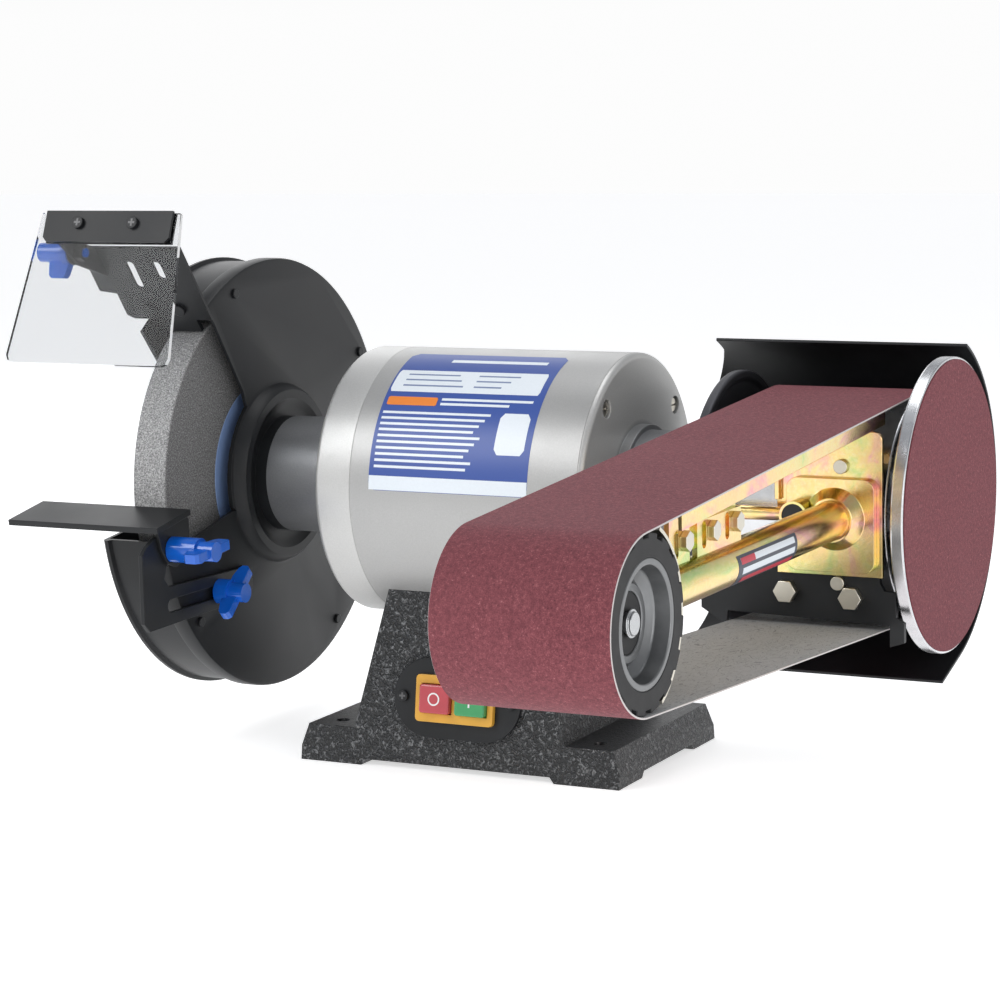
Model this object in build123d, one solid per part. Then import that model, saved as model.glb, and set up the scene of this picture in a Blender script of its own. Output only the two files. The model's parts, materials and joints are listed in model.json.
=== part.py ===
"""Bench grinder with a belt and disc attachment on its right end.

X runs along the spindle from the grinding wheel to the sanding disc, Y runs back from the operator,
Z runs up from the bench. The origin is the middle of the base's bolt pattern, on the bench.
All sizes are in millimetres.
"""

import math
import os

from build123d import *

# ---- driving dimensions --------------------------------------------------------------------------
SPINDLE_HEIGHT = 182.0
RUNNING_GAP = 0.05  # radial clearance of a shaft or slide in its bore
FREE_GAP = 0.3  # clearance between pieces that move past each other

BASE_WIDTH = 235.0
BASE_DEPTH = 158.0
BASE_FLANGE_HEIGHT = 24.5
BASE_LEAN = 0.142  # how far the front and back lean in, per unit of height
BASE_WALL = 9.0
BOLT_SPACING_X = 191.0
BOLT_SPACING_Y = 118.0
BOLT_HOLE_RADIUS = 4.5
FOOT_ARCH = 4.0
PEDESTAL_TOP_HEIGHT = 118.0
PEDESTAL_TOP_WIDTH = 111.0
PEDESTAL_FOOT_WIDTH = 155.0
FLANGE_BEVEL = 5.0
ARCH_HALF_WIDTH = 68.0
ARCH_HALF_DEPTH = 39.5
GLAND_X = 40.0
GLAND_HEIGHT = 34.0
GLAND_RADIUS = 8.9
CORD_HOLE_RADIUS = 4.0
CAPACITOR_RADIUS = 17.0

MOTOR_RADIUS = 90.0
MOTOR_LEFT = -95.0
MOTOR_RIGHT = 100.0
MOTOR_EDGE = 4.0
SHELL_WALL = 4.0
SHELL_LEFT = -68.0
BELL_WALL = 8.0
NECK_RADIUS = 39.8
NECK_END = 162.0  # how far each neck reaches from the middle
STATOR_LENGTH = 84.0
ROTOR_RADIUS = 48.0
THROUGH_BOLT_CIRCLE = 77.0
THROUGH_BOLT_ANGLE = 40.0
THROUGH_BOLT_RADIUS = 2.5
THROUGH_BOLT_HEAD_RADIUS = 4.5
COUNTERBORE_RADIUS = 6.0
COUNTERBORE_DEPTH = 5.5
SHAFT_RADIUS = 10.0
SHAFT_LEFT = -232.5
SHAFT_RIGHT = 302.0
THREAD_RADIUS = 8.0
BEARING_RADIUS = 23.5
BEARING_WIDTH = 14.0
BEARING_LIP = 5.0

WHEEL_RADIUS = 125.0
WHEEL_WIDTH = 25.0
WHEEL_OUTER_FACE = -213.0
BLOTTER_RADIUS = 64.0
BLOTTER_THICKNESS = 0.6
WHEEL_FLANGE_RADIUS = 45.0
WHEEL_FLANGE_WIDTH = 6.0
GUARD_RADIUS = 149.0
GUARD_INNER_FACE = -175.5
GUARD_WIDTH = 49.5
GUARD_WALL = 2.5
GUARD_SPLIT = -188.0
COVER_BULGE = 13.0
BOSS_RADIUS = 61.0
RIM_SCREW_CIRCLE = 138.0
RIM_SCREW_ANGLES = (-21.4, 58.0, 148.0, -129.0)  # from the top towards the back
RIM_SCREW_RADIUS = 1.9
BOSS_HEIGHT = 9.0

BELT_WIDTH = 100.0
BELT_LENGTH = 1220.0
BELT_THICKNESS = 1.0
BELT_LEFT = 194.5
DRIVE_RADIUS = 70.3
IDLER_RADIUS = 45.9
DISC_RADIUS = 92.5
DISC_THICKNESS = 8.2
DISC_FACE = 312.5
ABRASIVE_THICKNESS = 0.8

HUB_FLANGE_RADIUS = 80.5
HUB_FLANGE_THICKNESS = 6.5
HUB_FACE = 173.0
SPIGOT_RADIUS = 44.0
SPIGOT_LENGTH = 18.0

TUBE_X = 267.0
TUBE_Z = 2.0  # above the spindle
TUBE_RADIUS = 12.0
TUBE_WALL = 2.5
TUBE_FRONT = -352.0
PLATE_FACE = -82.0  # front of the arm's back plate
PLATE_THICKNESS = 3.0
PLATE_LEFT = 228.0
PLATE_RIGHT = 295.5
HOOD_RADIUS = 104.0
HOOD_THICKNESS = 2.0

SWITCH_HEIGHT = 48.5
SWITCH_WIDTH = 93.0
SWITCH_PLATE_HEIGHT = 52.5
BEZEL_WIDTH = 57.0
BEZEL_HEIGHT = 31.0
BUTTON_WIDTH = 22.0
BUTTON_HEIGHT = 19.0
BUTTON_PITCH = 26.0

REST_PIVOT = (-147.0, 151.0)  # Y, Z
REST_LEFT = -285.0
REST_RIGHT = -167.0
REST_TILT = 10.0
REST_BOLT = (-88.0, 113.0)  # Y, Z
STUD_RADIUS = 3.0

SHIELD_PIVOT = (-139.5, 343.2)  # Y, Z
SHIELD_TOP = (-155.4, 370.3)
SHIELD_MIDDLE = -200.8
SHIELD_LENGTH = 101.0
SHIELD_TILT = 21.3
SHIELD_TOP_WIDTH = 106.5
SHIELD_FOOT_WIDTH = 125.0
SHIELD_THICKNESS = 3.0
BRACKET_FOOT = (-81.0, 295.0)
BRACKET_LEAN = 36.0
BRACKET_THICKNESS = 2.0

BRACKET_SCREWS = (-219.5, -196.0)
BRACKET_SCREW_HEIGHT = 9.4
SHIELD_EAR_X = -240.5  # joint face between the bracket's ear and the shield's ear
EAR_THICKNESS = 2.0
EAR_RADIUS = 8.0
STRIP_WIDTH = 97.5
STRIP_HEIGHT = 21.0
SHIELD_HOLE_RADIUS = 2.1
STRIP_SCREWS = (-22.0, 20.0)  # from the middle of the panel
STRIP_SCREW_DROP = -7.5
KNOB_HUB_RADIUS = 8.5
SHIELD_KNOB_LENGTH = 24.0
SHIELD_KNOB_REACH = 17.0
SLIDE_KNOB_LENGTH = 21.0
TILT_KNOB_LENGTH = 34.0
REST_KNOB_REACH = 20.5
REST_PLATE_X = -172.2  # right face of the rest's slotted plate
REST_ARM_THICKNESS = 3.0
REST_FLANGE_THICKNESS = 2.5
REST_BACK = (-127.5, 174.8)  # Y, Z of the table's top at the wheel
REST_DEPTH = 40.5
REST_THICKNESS = 4.0
REST_SLOT_MIDDLE = -104.0
REST_SLOT_LENGTH = 92.0

SWITCH_SCREW_X = 39.5
PLATE_STANDS = 3.0
BEZEL_STANDS = 4.0
SWITCH_BODY_DEPTH = 30.0
POCKET_FLOOR = -12.0
SWITCH_SCREW_HOLE = 1.8
BUTTON_TRAVEL = 2.5
BUTTON_PROUD = 4.0

CLAMP_LEFT = 174.0
CLAMP_THICKNESS = 5.0
PLATE_BACK = 75.0  # back of the gusset, in front of the spindle
TUBE_FLANGE_DEPTH = 5.0
FRAME_HOLE_RADIUS = 3.0
FRAME_BOLT_RADIUS = 2.95
GUSSET_BOLTS = ((233.0, -45.0), (275.0, -47.0))
FRAME_SCREWS = ((269.8, 33.5), (266.4, -38.4))
PLATEN_BACK = -66.0
PLATEN_FRONT = -375.0
BRACKET_X = 267.0  # left face of the slotted plates on the tube
PLATEN_SLOTS = (-332.5, -295.0, -262.6)
PLATEN_BOLTS = (-323.0, -285.4, -252.0)
PLATEN_BOLT_Z = 25.5
PLATEN_THICKNESS = 2.5
PLATEN_LIP = 9.0
PLATEN_BOLT_HEAD = 5.8
HOOD_LEFT = 122.0
HOOD_START = 24.0  # degrees from the top towards the back
HOOD_END = 163.0
HOOD_TAIL = 38.0
HOOD_RIGHT = 308.0
LEVER_X = 245.3
LEVER_Z = 4.6
LEVER_FRONT = -100.0
LEVER_BOSS_RADIUS = 9.0
LEVER_PIN_RADIUS = 4.0
LEVER_LEFT = 174.0
LEVER_ROOT_RADIUS = 5.2
LEVER_TIP_RADIUS = 4.0
GRIP_RADIUS = 6.5
FENDER_RADIUS = 49.5
FENDER_THICKNESS = 2.0
FENDER_START = 28.0  # degrees from the top towards the back
FENDER_END = 152.0
FENDER_RIGHT = 290.0
FORK_LEFT = 188.5
FORK_THICKNESS = 4.0
AXLE_RADIUS = 6.0
IDLER_LEFT = 196.0
IDLER_RIGHT = 293.0
IDLER_BEARING_RADIUS = 16.0
IDLER_BEARING_WIDTH = 10.0
IDLER_BOSS_INSET = 10.0
TYRE_THICKNESS = 12.5
TYRE_GROOVES = 16
GROOVE_WIDTH = 6.5
GROOVE_DEPTH = 2.5

# ---- worked out from the driving dimensions ------------------------------------------------------
BELT_RIGHT = BELT_LEFT + BELT_WIDTH
BELT_OVER_DRIVE = DRIVE_RADIUS + FREE_GAP + BELT_THICKNESS
BELT_OVER_IDLER = IDLER_RADIUS + FREE_GAP + BELT_THICKNESS


def centre_distance():
    """Distance from the spindle to the idler axle that the belt's length gives."""
    distance = BELT_LENGTH / 3
    for _ in range(40):
        wrap = math.asin((BELT_OVER_DRIVE - BELT_OVER_IDLER) / distance)
        arcs = BELT_OVER_DRIVE * (math.pi + 2 * wrap) + BELT_OVER_IDLER * (math.pi - 2 * wrap)
        distance = (BELT_LENGTH - arcs) / (2 * math.cos(wrap))
    return distance


IDLER_Y = -centre_distance()
BELT_SLOPE = math.asin((BELT_OVER_DRIVE - BELT_OVER_IDLER) / -IDLER_Y)
GUARD_OUTER_FACE = GUARD_INNER_FACE - GUARD_WIDTH
DISC_BACK = DISC_FACE - ABRASIVE_THICKNESS - DISC_THICKNESS
WHEEL_INNER_FACE = WHEEL_OUTER_FACE + WHEEL_WIDTH
LEVER_BACK = PLATE_FACE - TUBE_FLANGE_DEPTH - FREE_GAP


# ---- building blocks -----------------------------------------------------------------------------
def box(x0, x1, y0, y1, z0, z1):
    """Block between two corners."""
    return Pos((x0 + x1) / 2, (y0 + y1) / 2, (z0 + z1) / 2) * Box(x1 - x0, y1 - y0, z1 - z0)


def bar_x(x0, x1, radius, y=0.0, z=SPINDLE_HEIGHT):
    """Round bar along X; on the spindle's axis unless told otherwise."""
    return Pos((x0 + x1) / 2, y, z) * Rot(0, 90, 0) * Cylinder(radius, x1 - x0)


def bar_y(y0, y1, radius, x, z):
    """Round bar along Y."""
    return Pos(x, (y0 + y1) / 2, z) * Rot(90, 0, 0) * Cylinder(radius, y1 - y0)


def bar_z(z0, z1, radius, x, y):
    """Round bar along Z."""
    return Pos(x, y, (z0 + z1) / 2) * Cylinder(radius, z1 - z0)


def tube_x(x0, x1, outer, inner, y=0.0, z=SPINDLE_HEIGHT):
    """Round tube along X."""
    return bar_x(x0, x1, outer, y, z) - bar_x(x0 - 1, x1 + 1, inner, y, z)


def outline(points):
    """Face inside a closed run of straight lines."""
    return make_face(Polyline(*points, close=True))


def side_plate(points, x0, x1):
    """Plate that faces along X, from its (Y, Z) outline."""
    return extrude(Plane.YZ.offset(x0) * outline(points), x1 - x0)


def front_plate(points, y0, y1):
    """Plate that faces along Y, from its (X, Z) outline."""
    return extrude(Plane.XZ.offset(-y1) * outline(points), y1 - y0)


def turned(points):
    """Piece turned about the spindle's axis, from its (X, radius) outline."""
    return Pos(0, 0, SPINDLE_HEIGHT) * revolve(Plane.XZ * outline(points), Axis.X)


def around(radius, start, stop, steps=12, y=0.0, z=SPINDLE_HEIGHT):
    """Points on an arc in the (Y, Z) plane; angles run from straight up towards the back."""
    points = []
    for step in range(steps + 1):
        angle = math.radians(start + (stop - start) * step / steps)
        points.append((y + radius * math.sin(angle), z + radius * math.cos(angle)))
    return points


def group(pieces):
    """Separate solids kept in one node."""
    return Compound(children=list(pieces))


def save(name, part):
    """Write one node."""
    export_step(part, f"parts/{name}.step")


# ---- base ----------------------------------------------------------------------------------------
def base_block(width_cut, depth_cut, height, flange_height):
    """Flange and pedestal in one lean-sided block, smaller by a cut on each side."""
    half = BASE_WIDTH / 2 - width_cut
    foot = PEDESTAL_FOOT_WIDTH / 2 - width_cut
    top = PEDESTAL_TOP_WIDTH / 2 - width_cut
    bevel = FLANGE_BEVEL
    front = front_plate(
        [
            (-half, 0), (half, 0), (half, flange_height * 0.4), (half - bevel, flange_height),
            (foot, flange_height), (top, height), (-top, height), (-foot, flange_height),
            (-half + bevel, flange_height), (-half, flange_height * 0.4),
        ],
        -BASE_DEPTH, BASE_DEPTH,
    )
    deep = BASE_DEPTH / 2 - depth_cut
    lean = BASE_LEAN * height
    side = side_plate([(-deep, 0), (deep, 0), (deep - lean, height), (-deep + lean, height)], -half, half)
    return front & side


def pedestal_hollow():
    """Room inside the pedestal, open at the bottom."""
    foot = PEDESTAL_FOOT_WIDTH / 2 - 2 * BASE_WALL
    top = PEDESTAL_TOP_WIDTH / 2 - BASE_WALL
    height = SPINDLE_HEIGHT - MOTOR_RADIUS - BASE_WALL
    deep = BASE_DEPTH / 2 - BASE_WALL
    lean = BASE_LEAN * height
    across = [(-foot, -1), (foot, -1), (top, height), (-top, height)]
    along = [(-deep, -1), (deep, -1), (deep - lean, height), (-deep + lean, height)]
    return front_plate(across, -BASE_DEPTH, BASE_DEPTH) & side_plate(along, -foot, foot)


def foot_arches():
    """Shallow cuts that leave a foot under each corner."""
    wide, deep = ARCH_HALF_WIDTH, ARCH_HALF_DEPTH
    run = FOOT_ARCH
    gap = [(-wide - run, -1), (wide + run, -1), (wide, FOOT_ARCH), (-wide, FOOT_ARCH)]
    across = front_plate(gap, -BASE_DEPTH, BASE_DEPTH)
    gap = [(-deep - run, -1), (deep + run, -1), (deep, FOOT_ARCH), (-deep, FOOT_ARCH)]
    along = side_plate(gap, -BASE_WIDTH, BASE_WIDTH)
    return across + along


def base_bolt_points():
    """Middle of each bench bolt hole."""
    half_x, half_y = BOLT_SPACING_X / 2, BOLT_SPACING_Y / 2
    return [(x, y) for x in (-half_x, half_x) for y in (-half_y, half_y)]


def base_casting():
    """Cast pedestal with a bolted flange and a cradle for the motor."""
    body = base_block(0, 0, PEDESTAL_TOP_HEIGHT, BASE_FLANGE_HEIGHT)
    body -= bar_x(-BASE_WIDTH, BASE_WIDTH, MOTOR_RADIUS)
    body -= pedestal_hollow()
    body -= foot_arches()
    for x, y in base_bolt_points():
        body -= bar_z(-1, BASE_FLANGE_HEIGHT + 1, BOLT_HOLE_RADIUS, x, y)
    for side in (-1, 1):
        middle = side * BOLT_SPACING_X / 2
        body -= box(middle - 9, middle + 9, -40, 40, -1, BASE_FLANGE_HEIGHT - 7)
    body -= Pos(0, 0, SWITCH_HEIGHT) * box(-30, 30, -BASE_DEPTH, 0, -16, 16)
    body -= bar_y(0, BASE_DEPTH, GLAND_RADIUS + 0.1, GLAND_X, GLAND_HEIGHT)
    return body


def base_cover():
    """Thin plate that closes the pedestal from below."""
    return box(-66, 66, -72, 72, FOOT_ARCH - 1.6, FOOT_ARCH)


def cable_gland():
    """Threaded gland in the back of the pedestal; its hole takes the supply lead."""
    back = BASE_DEPTH / 2 - BASE_LEAN * GLAND_HEIGHT
    body = bar_y(back - 14, back + 16, GLAND_RADIUS, GLAND_X, GLAND_HEIGHT)
    collar = Pos(GLAND_X, back + 11, GLAND_HEIGHT) * Rot(90, 0, 0) * extrude(RegularPolygon(12.0, 6), 9.0)
    return body + collar - bar_y(back - 20, back + 30, CORD_HOLE_RADIUS, GLAND_X, GLAND_HEIGHT)


def capacitor():
    """Motor capacitor inside the pedestal."""
    ceiling = SPINDLE_HEIGHT - MOTOR_RADIUS - BASE_WALL
    return bar_x(-38, 38, CAPACITOR_RADIUS, 32.0, ceiling - CAPACITOR_RADIUS)


# ---- motor ---------------------------------------------------------------------------------------
def through_bolt_points(radius=THROUGH_BOLT_CIRCLE):
    """(Y, Z) of the four long bolts that clamp the end bells."""
    points = []
    for quarter in range(4):
        angle = math.radians(THROUGH_BOLT_ANGLE + 90 * quarter)
        y, z = -radius * math.sin(angle), radius * math.cos(angle)
        points.append((y, SPINDLE_HEIGHT + z))
    return points


def motor_shell():
    """Plain rolled shell around the stator."""
    return tube_x(SHELL_LEFT, MOTOR_RIGHT - MOTOR_EDGE, MOTOR_RADIUS, MOTOR_RADIUS - SHELL_WALL)


def round_edge(x_face, direction):
    """(X, radius) points of the rounded rim of an end bell, from the outside to the face."""
    points = []
    for step in range(7):
        angle = math.radians(15 * step)
        x = x_face - direction * MOTOR_EDGE * (1 - math.sin(angle))
        points.append((x, MOTOR_RADIUS - MOTOR_EDGE + MOTOR_EDGE * math.cos(angle)))
    return points


def neck_points(x_face, direction):
    """(X, radius) outline of a bell's neck, from the end face out to the neck's end and back inside."""
    end = direction * NECK_END
    seat = end - direction * (BEARING_WIDTH + 2)
    return [
        (x_face, NECK_RADIUS + 3.5), (x_face + direction * 7, NECK_RADIUS + 3.5),
        (x_face + direction * 7, NECK_RADIUS), (end, NECK_RADIUS), (end, BEARING_RADIUS),
        (seat, BEARING_RADIUS), (seat, BEARING_RADIUS - BEARING_LIP),
        (x_face - direction * BELL_WALL, BEARING_RADIUS - BEARING_LIP),
    ]


def left_end_bell():
    """Cup that closes the motor's left end, with the neck that carries a bearing."""
    inner = MOTOR_RADIUS - SHELL_WALL
    points = round_edge(MOTOR_LEFT, -1) + neck_points(MOTOR_LEFT, -1)
    points += [(MOTOR_LEFT + BELL_WALL, inner), (SHELL_LEFT, inner), (SHELL_LEFT, MOTOR_RADIUS)]
    body = turned(points)
    for y, z in through_bolt_points():
        body -= bar_x(MOTOR_LEFT - 1, MOTOR_LEFT + BELL_WALL + 1, THROUGH_BOLT_RADIUS + 0.1, y, z)
    return body


def right_end_bell():
    """Flat-faced bell at the motor's right end, with counterbores for the long bolts."""
    inner = MOTOR_RADIUS - SHELL_WALL
    seam = MOTOR_RIGHT - MOTOR_EDGE
    points = round_edge(MOTOR_RIGHT, 1) + neck_points(MOTOR_RIGHT, 1)
    points += [(MOTOR_RIGHT - BELL_WALL, inner), (seam, inner)]
    body = turned(points)
    for y, z in through_bolt_points():
        body -= bar_x(MOTOR_RIGHT - BELL_WALL - 1, MOTOR_RIGHT + 1, THROUGH_BOLT_RADIUS + 0.1, y, z)
        body -= bar_x(MOTOR_RIGHT - COUNTERBORE_DEPTH, MOTOR_RIGHT + 1, COUNTERBORE_RADIUS, y, z)
    return body


def through_bolts():
    """Long bolts from the right bell's counterbores to the left bell."""
    bolts = []
    for y, z in through_bolt_points():
        seat = MOTOR_RIGHT - COUNTERBORE_DEPTH
        shank = bar_x(MOTOR_LEFT, seat, THROUGH_BOLT_RADIUS, y, z)
        head = bar_x(seat, seat + 4, THROUGH_BOLT_HEAD_RADIUS, y, z)
        slot = box(MOTOR_RIGHT - 2.8, MOTOR_RIGHT, y - 5, y + 5, z - 0.6, z + 0.6)
        bolts.append(shank + head - slot)
    return group(bolts)


def stator_core():
    """Laminated ring pressed into the shell."""
    half = STATOR_LENGTH / 2
    body = tube_x(-half, half, MOTOR_RADIUS - SHELL_WALL, ROTOR_RADIUS + 1)
    for y, z in through_bolt_points():
        body -= bar_x(-half - 1, half + 1, THROUGH_BOLT_RADIUS + 0.5, y, z)
    return body


def stator_windings():
    """Bundled end turns on both sides of the core."""
    half = STATOR_LENGTH / 2
    reach = 18.0
    rings = []
    for side in (-1, 1):
        near, far = side * half, side * (half + reach)
        rings.append(tube_x(min(near, far), max(near, far), 70.0, ROTOR_RADIUS + 5))
    return group(rings)


def bearings():
    """Two ball bearings, one in each neck."""
    rings = []
    for side in (-1, 1):
        near, far = side * (NECK_END - 2), side * (NECK_END - 2 - BEARING_WIDTH)
        left, right = min(near, far), max(near, far)
        rings.append(tube_x(left, right, BEARING_RADIUS, SHAFT_RADIUS + RUNNING_GAP))
    return group(rings)


# ---- spindle and what turns with it --------------------------------------------------------------
def spindle_shaft():
    """Stepped shaft with a threaded length at each end."""
    left_seat = WHEEL_INNER_FACE + BLOTTER_THICKNESS + WHEEL_FLANGE_WIDTH
    right_seat = BELT_LEFT + 8
    return turned(
        [
            (SHAFT_LEFT, 0), (SHAFT_LEFT, THREAD_RADIUS), (left_seat, THREAD_RADIUS),
            (left_seat, SHAFT_RADIUS), (right_seat, SHAFT_RADIUS), (right_seat, THREAD_RADIUS),
            (SHAFT_RIGHT, THREAD_RADIUS), (SHAFT_RIGHT, 0),
        ]
    )


def rotor():
    """Squirrel-cage rotor pressed on the shaft."""
    half = STATOR_LENGTH / 2
    core = tube_x(-half, half, ROTOR_RADIUS, SHAFT_RADIUS)
    ends = tube_x(-half - 8, -half, ROTOR_RADIUS - 3, ROTOR_RADIUS - 15)
    return core + ends + tube_x(half, half + 8, ROTOR_RADIUS - 3, ROTOR_RADIUS - 15)


def grinding_wheel():
    """Plain vitrified wheel."""
    return tube_x(WHEEL_OUTER_FACE, WHEEL_INNER_FACE, WHEEL_RADIUS, THREAD_RADIUS)


def wheel_blotters():
    """Paper discs between the wheel and its flanges."""
    left = tube_x(WHEEL_OUTER_FACE - BLOTTER_THICKNESS, WHEEL_OUTER_FACE, BLOTTER_RADIUS, THREAD_RADIUS)
    right = tube_x(WHEEL_INNER_FACE, WHEEL_INNER_FACE + BLOTTER_THICKNESS, BLOTTER_RADIUS, THREAD_RADIUS)
    return group([left, right])


def wheel_flange(face, direction):
    """Dished clamping flange; its rim bears on the blotter."""
    rim, web = WHEEL_FLANGE_WIDTH, WHEEL_FLANGE_WIDTH / 2
    return turned(
        [
            (face, WHEEL_FLANGE_RADIUS), (face, WHEEL_FLANGE_RADIUS - 10),
            (face + direction * (rim - web), WHEEL_FLANGE_RADIUS - 12),
            (face + direction * (rim - web), 18),
            (face, 16), (face, THREAD_RADIUS), (face + direction * rim, THREAD_RADIUS),
            (face + direction * rim, WHEEL_FLANGE_RADIUS - 2),
            (face + direction * (rim - 2), WHEEL_FLANGE_RADIUS),
        ]
    )


def wheel_flanges():
    """Flange on each side of the grinding wheel."""
    outer = wheel_flange(WHEEL_OUTER_FACE - BLOTTER_THICKNESS, -1)
    inner = wheel_flange(WHEEL_INNER_FACE + BLOTTER_THICKNESS, 1)
    return group([outer, inner])


def wheel_nut():
    """Left-hand nut that clamps the grinding wheel."""
    start = WHEEL_OUTER_FACE - BLOTTER_THICKNESS - WHEEL_FLANGE_WIDTH
    blank = Pos(start, 0, SPINDLE_HEIGHT) * Rot(0, -90, 0) * extrude(RegularPolygon(13.9, 6), 11.0)
    return blank - bar_x(start - 20, start + 5, THREAD_RADIUS)


def drive_wheel():
    """Aluminium wheel that drives the belt and carries the disc plate."""
    left, right = BELT_LEFT + 0.5, BELT_RIGHT - 0.5
    middle = (left + right) / 2
    seat = BELT_LEFT + 8
    return turned(
        [
            (left, DRIVE_RADIUS - 1), (left + 1, DRIVE_RADIUS), (right - 1, DRIVE_RADIUS),
            (right, DRIVE_RADIUS - 1), (right, DRIVE_RADIUS - 7), (middle + 5, DRIVE_RADIUS - 9),
            (middle + 5, 26), (DISC_BACK, 22), (DISC_BACK, THREAD_RADIUS), (seat, THREAD_RADIUS),
            (seat, 22), (middle - 5, 26),
            (middle - 5, DRIVE_RADIUS - 9), (left, DRIVE_RADIUS - 7),
        ]
    )


def disc_plate():
    """Turned aluminium plate behind the abrasive disc."""
    back, front = DISC_BACK, DISC_FACE - ABRASIVE_THICKNESS
    return turned(
        [
            (back, 0), (front, 0), (front, DISC_RADIUS - 0.6), (front - 0.6, DISC_RADIUS),
            (back + 1.0, DISC_RADIUS), (back, DISC_RADIUS - 1.0),
        ]
    )


def abrasive_disc():
    """Cloth disc stuck on the plate."""
    return bar_x(DISC_FACE - ABRASIVE_THICKNESS, DISC_FACE, DISC_RADIUS - 1.5)


# ---- sloping plane of the shield bracket ---------------------------------------------------------
def bracket_point(height, depth):
    """(Y, Z) of a point up the bracket's slope, some way behind its front face."""
    lean = math.radians(BRACKET_LEAN)
    y = BRACKET_FOOT[0] - height * math.sin(lean) + depth * math.cos(lean)
    z = BRACKET_FOOT[1] + height * math.cos(lean) + depth * math.sin(lean)
    return (y, z)


def on_bracket(part):
    """Puts a piece drawn in (X, height) on the bracket's front face; local Z points to the front."""
    lean = math.radians(BRACKET_LEAN)
    foot = (0, BRACKET_FOOT[0], BRACKET_FOOT[1])
    plane = Plane(origin=foot, x_dir=(1, 0, 0), z_dir=(0, -math.cos(lean), -math.sin(lean)))
    return plane * part


def bracket_sheet(points, depth, thickness):
    """Sheet parallel to the bracket, its front some way behind the bracket's front face."""
    return on_bracket(extrude(Pos(0, 0, -depth - thickness) * outline(points), thickness))


# ---- grinding wheel guard ------------------------------------------------------------------------
def window(upper, lower):
    """Room in front of the guard where the wheel is used, between an upper and a lower edge."""
    boss = around(BOSS_RADIUS + 3, -38, -104, 8)
    points = upper + boss + lower + [(-260.0, 240.0)]
    return side_plate(points, GUARD_OUTER_FACE - 30, GUARD_INNER_FACE + 30)


def body_window():
    """Opening in the inner half of the guard."""
    behind = [bracket_point(60, BRACKET_THICKNESS), bracket_point(-3, BRACKET_THICKNESS)]
    return window(behind + [(-43.0, 243.0)], [(-60.0, 163.9), (-190.0, 133.6)])


def cover_window():
    """Opening in the cover, a little smaller, with room for the shield bracket."""
    upper = [(-112.0, 312.0), (-75.5, 268.4), (-50.0, 238.0)]
    opening = window(upper, [(-60.0, 163.9), (-190.0, 148.6)])
    room = [
        bracket_point(-FREE_GAP, BRACKET_THICKNESS), bracket_point(60, BRACKET_THICKNESS),
        bracket_point(60, -60), bracket_point(-FREE_GAP, -60),
    ]
    return opening + side_plate(room, GUARD_OUTER_FACE - 30, GUARD_INNER_FACE + 30)


def guard_body():
    """Inner half of the guard: round back plate, raised boss at the neck and half of the rim."""
    back = GUARD_INNER_FACE - GUARD_WALL
    boss = GUARD_INNER_FACE + BOSS_HEIGHT
    points = [
        (back, NECK_RADIUS - 8), (back, GUARD_RADIUS - GUARD_WALL),
        (GUARD_SPLIT, GUARD_RADIUS - GUARD_WALL),
        (GUARD_SPLIT, GUARD_RADIUS - 0.5), (GUARD_SPLIT + 1.5, GUARD_RADIUS),
        (GUARD_INNER_FACE - 2.5, GUARD_RADIUS), (GUARD_INNER_FACE - 0.7, GUARD_RADIUS - 0.7),
        (GUARD_INNER_FACE, GUARD_RADIUS - 2.5), (GUARD_INNER_FACE, BOSS_RADIUS + 4),
        (GUARD_INNER_FACE + 1.5, BOSS_RADIUS + 1.5), (boss - 2.5, BOSS_RADIUS - 0.5),
        (boss, BOSS_RADIUS - 3),
        (boss, BOSS_RADIUS - 9), (boss - 3, BOSS_RADIUS - 13), (boss - 4, NECK_RADIUS + 4),
        (boss - 4, NECK_RADIUS), (-NECK_END, NECK_RADIUS), (-NECK_END, NECK_RADIUS - 8),
    ]
    body = turned(points) - body_window() + guard_ears()
    for y, z in rim_screw_points():
        body -= bar_x(GUARD_OUTER_FACE, GUARD_INNER_FACE + 5, RIM_SCREW_RADIUS + 0.1, y, z)
    return body - bar_x(GUARD_OUTER_FACE, GUARD_INNER_FACE + 2, STUD_RADIUS + RUNNING_GAP, *REST_BOLT)


def guard_cover():
    """Outer half of the guard, which comes off to change the wheel."""
    face = GUARD_OUTER_FACE
    inner = face + GUARD_WALL
    drum = GUARD_RADIUS - GUARD_WALL
    nose = face - COVER_BULGE
    points = [
        (nose, 0), (nose, 42), (nose + 3, 46), (face, 52), (face, GUARD_RADIUS - 2),
        (face + 2, GUARD_RADIUS), (face + 4.5, GUARD_RADIUS), (face + 6, drum), (GUARD_SPLIT + 4, drum),
        (GUARD_SPLIT + 4, drum - GUARD_WALL), (inner, drum - GUARD_WALL), (inner, 50), (nose + 5, 44.5),
        (nose + GUARD_WALL, 41), (nose + GUARD_WALL, 0),
    ]
    body = turned(points) - cover_window() + guard_lip()
    for y, z in rim_screw_points():
        body -= bar_x(GUARD_OUTER_FACE - 5, GUARD_SPLIT, RIM_SCREW_RADIUS + 0.1, y, z)
    for x in BRACKET_SCREWS:
        body -= on_bracket(Pos(x, BRACKET_SCREW_HEIGHT, 0) * Cylinder(2.0, 30))
    return body


def guard_lip():
    """Flange inside the rim that the shield bracket is screwed to."""
    left, right = GUARD_OUTER_FACE + 1.0, GUARD_SPLIT - FREE_GAP
    return bracket_sheet([(left, -12), (right, -12), (right, 16), (left, 16)], BRACKET_THICKNESS, 3.0)


def rim_screw_points():
    """(Y, Z) of the screws that join the two halves of the guard."""
    points = []
    for degrees in RIM_SCREW_ANGLES:
        angle = math.radians(degrees)
        y, z = RIM_SCREW_CIRCLE * math.sin(angle), RIM_SCREW_CIRCLE * math.cos(angle)
        points.append((y, SPINDLE_HEIGHT + z))
    return points


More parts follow.
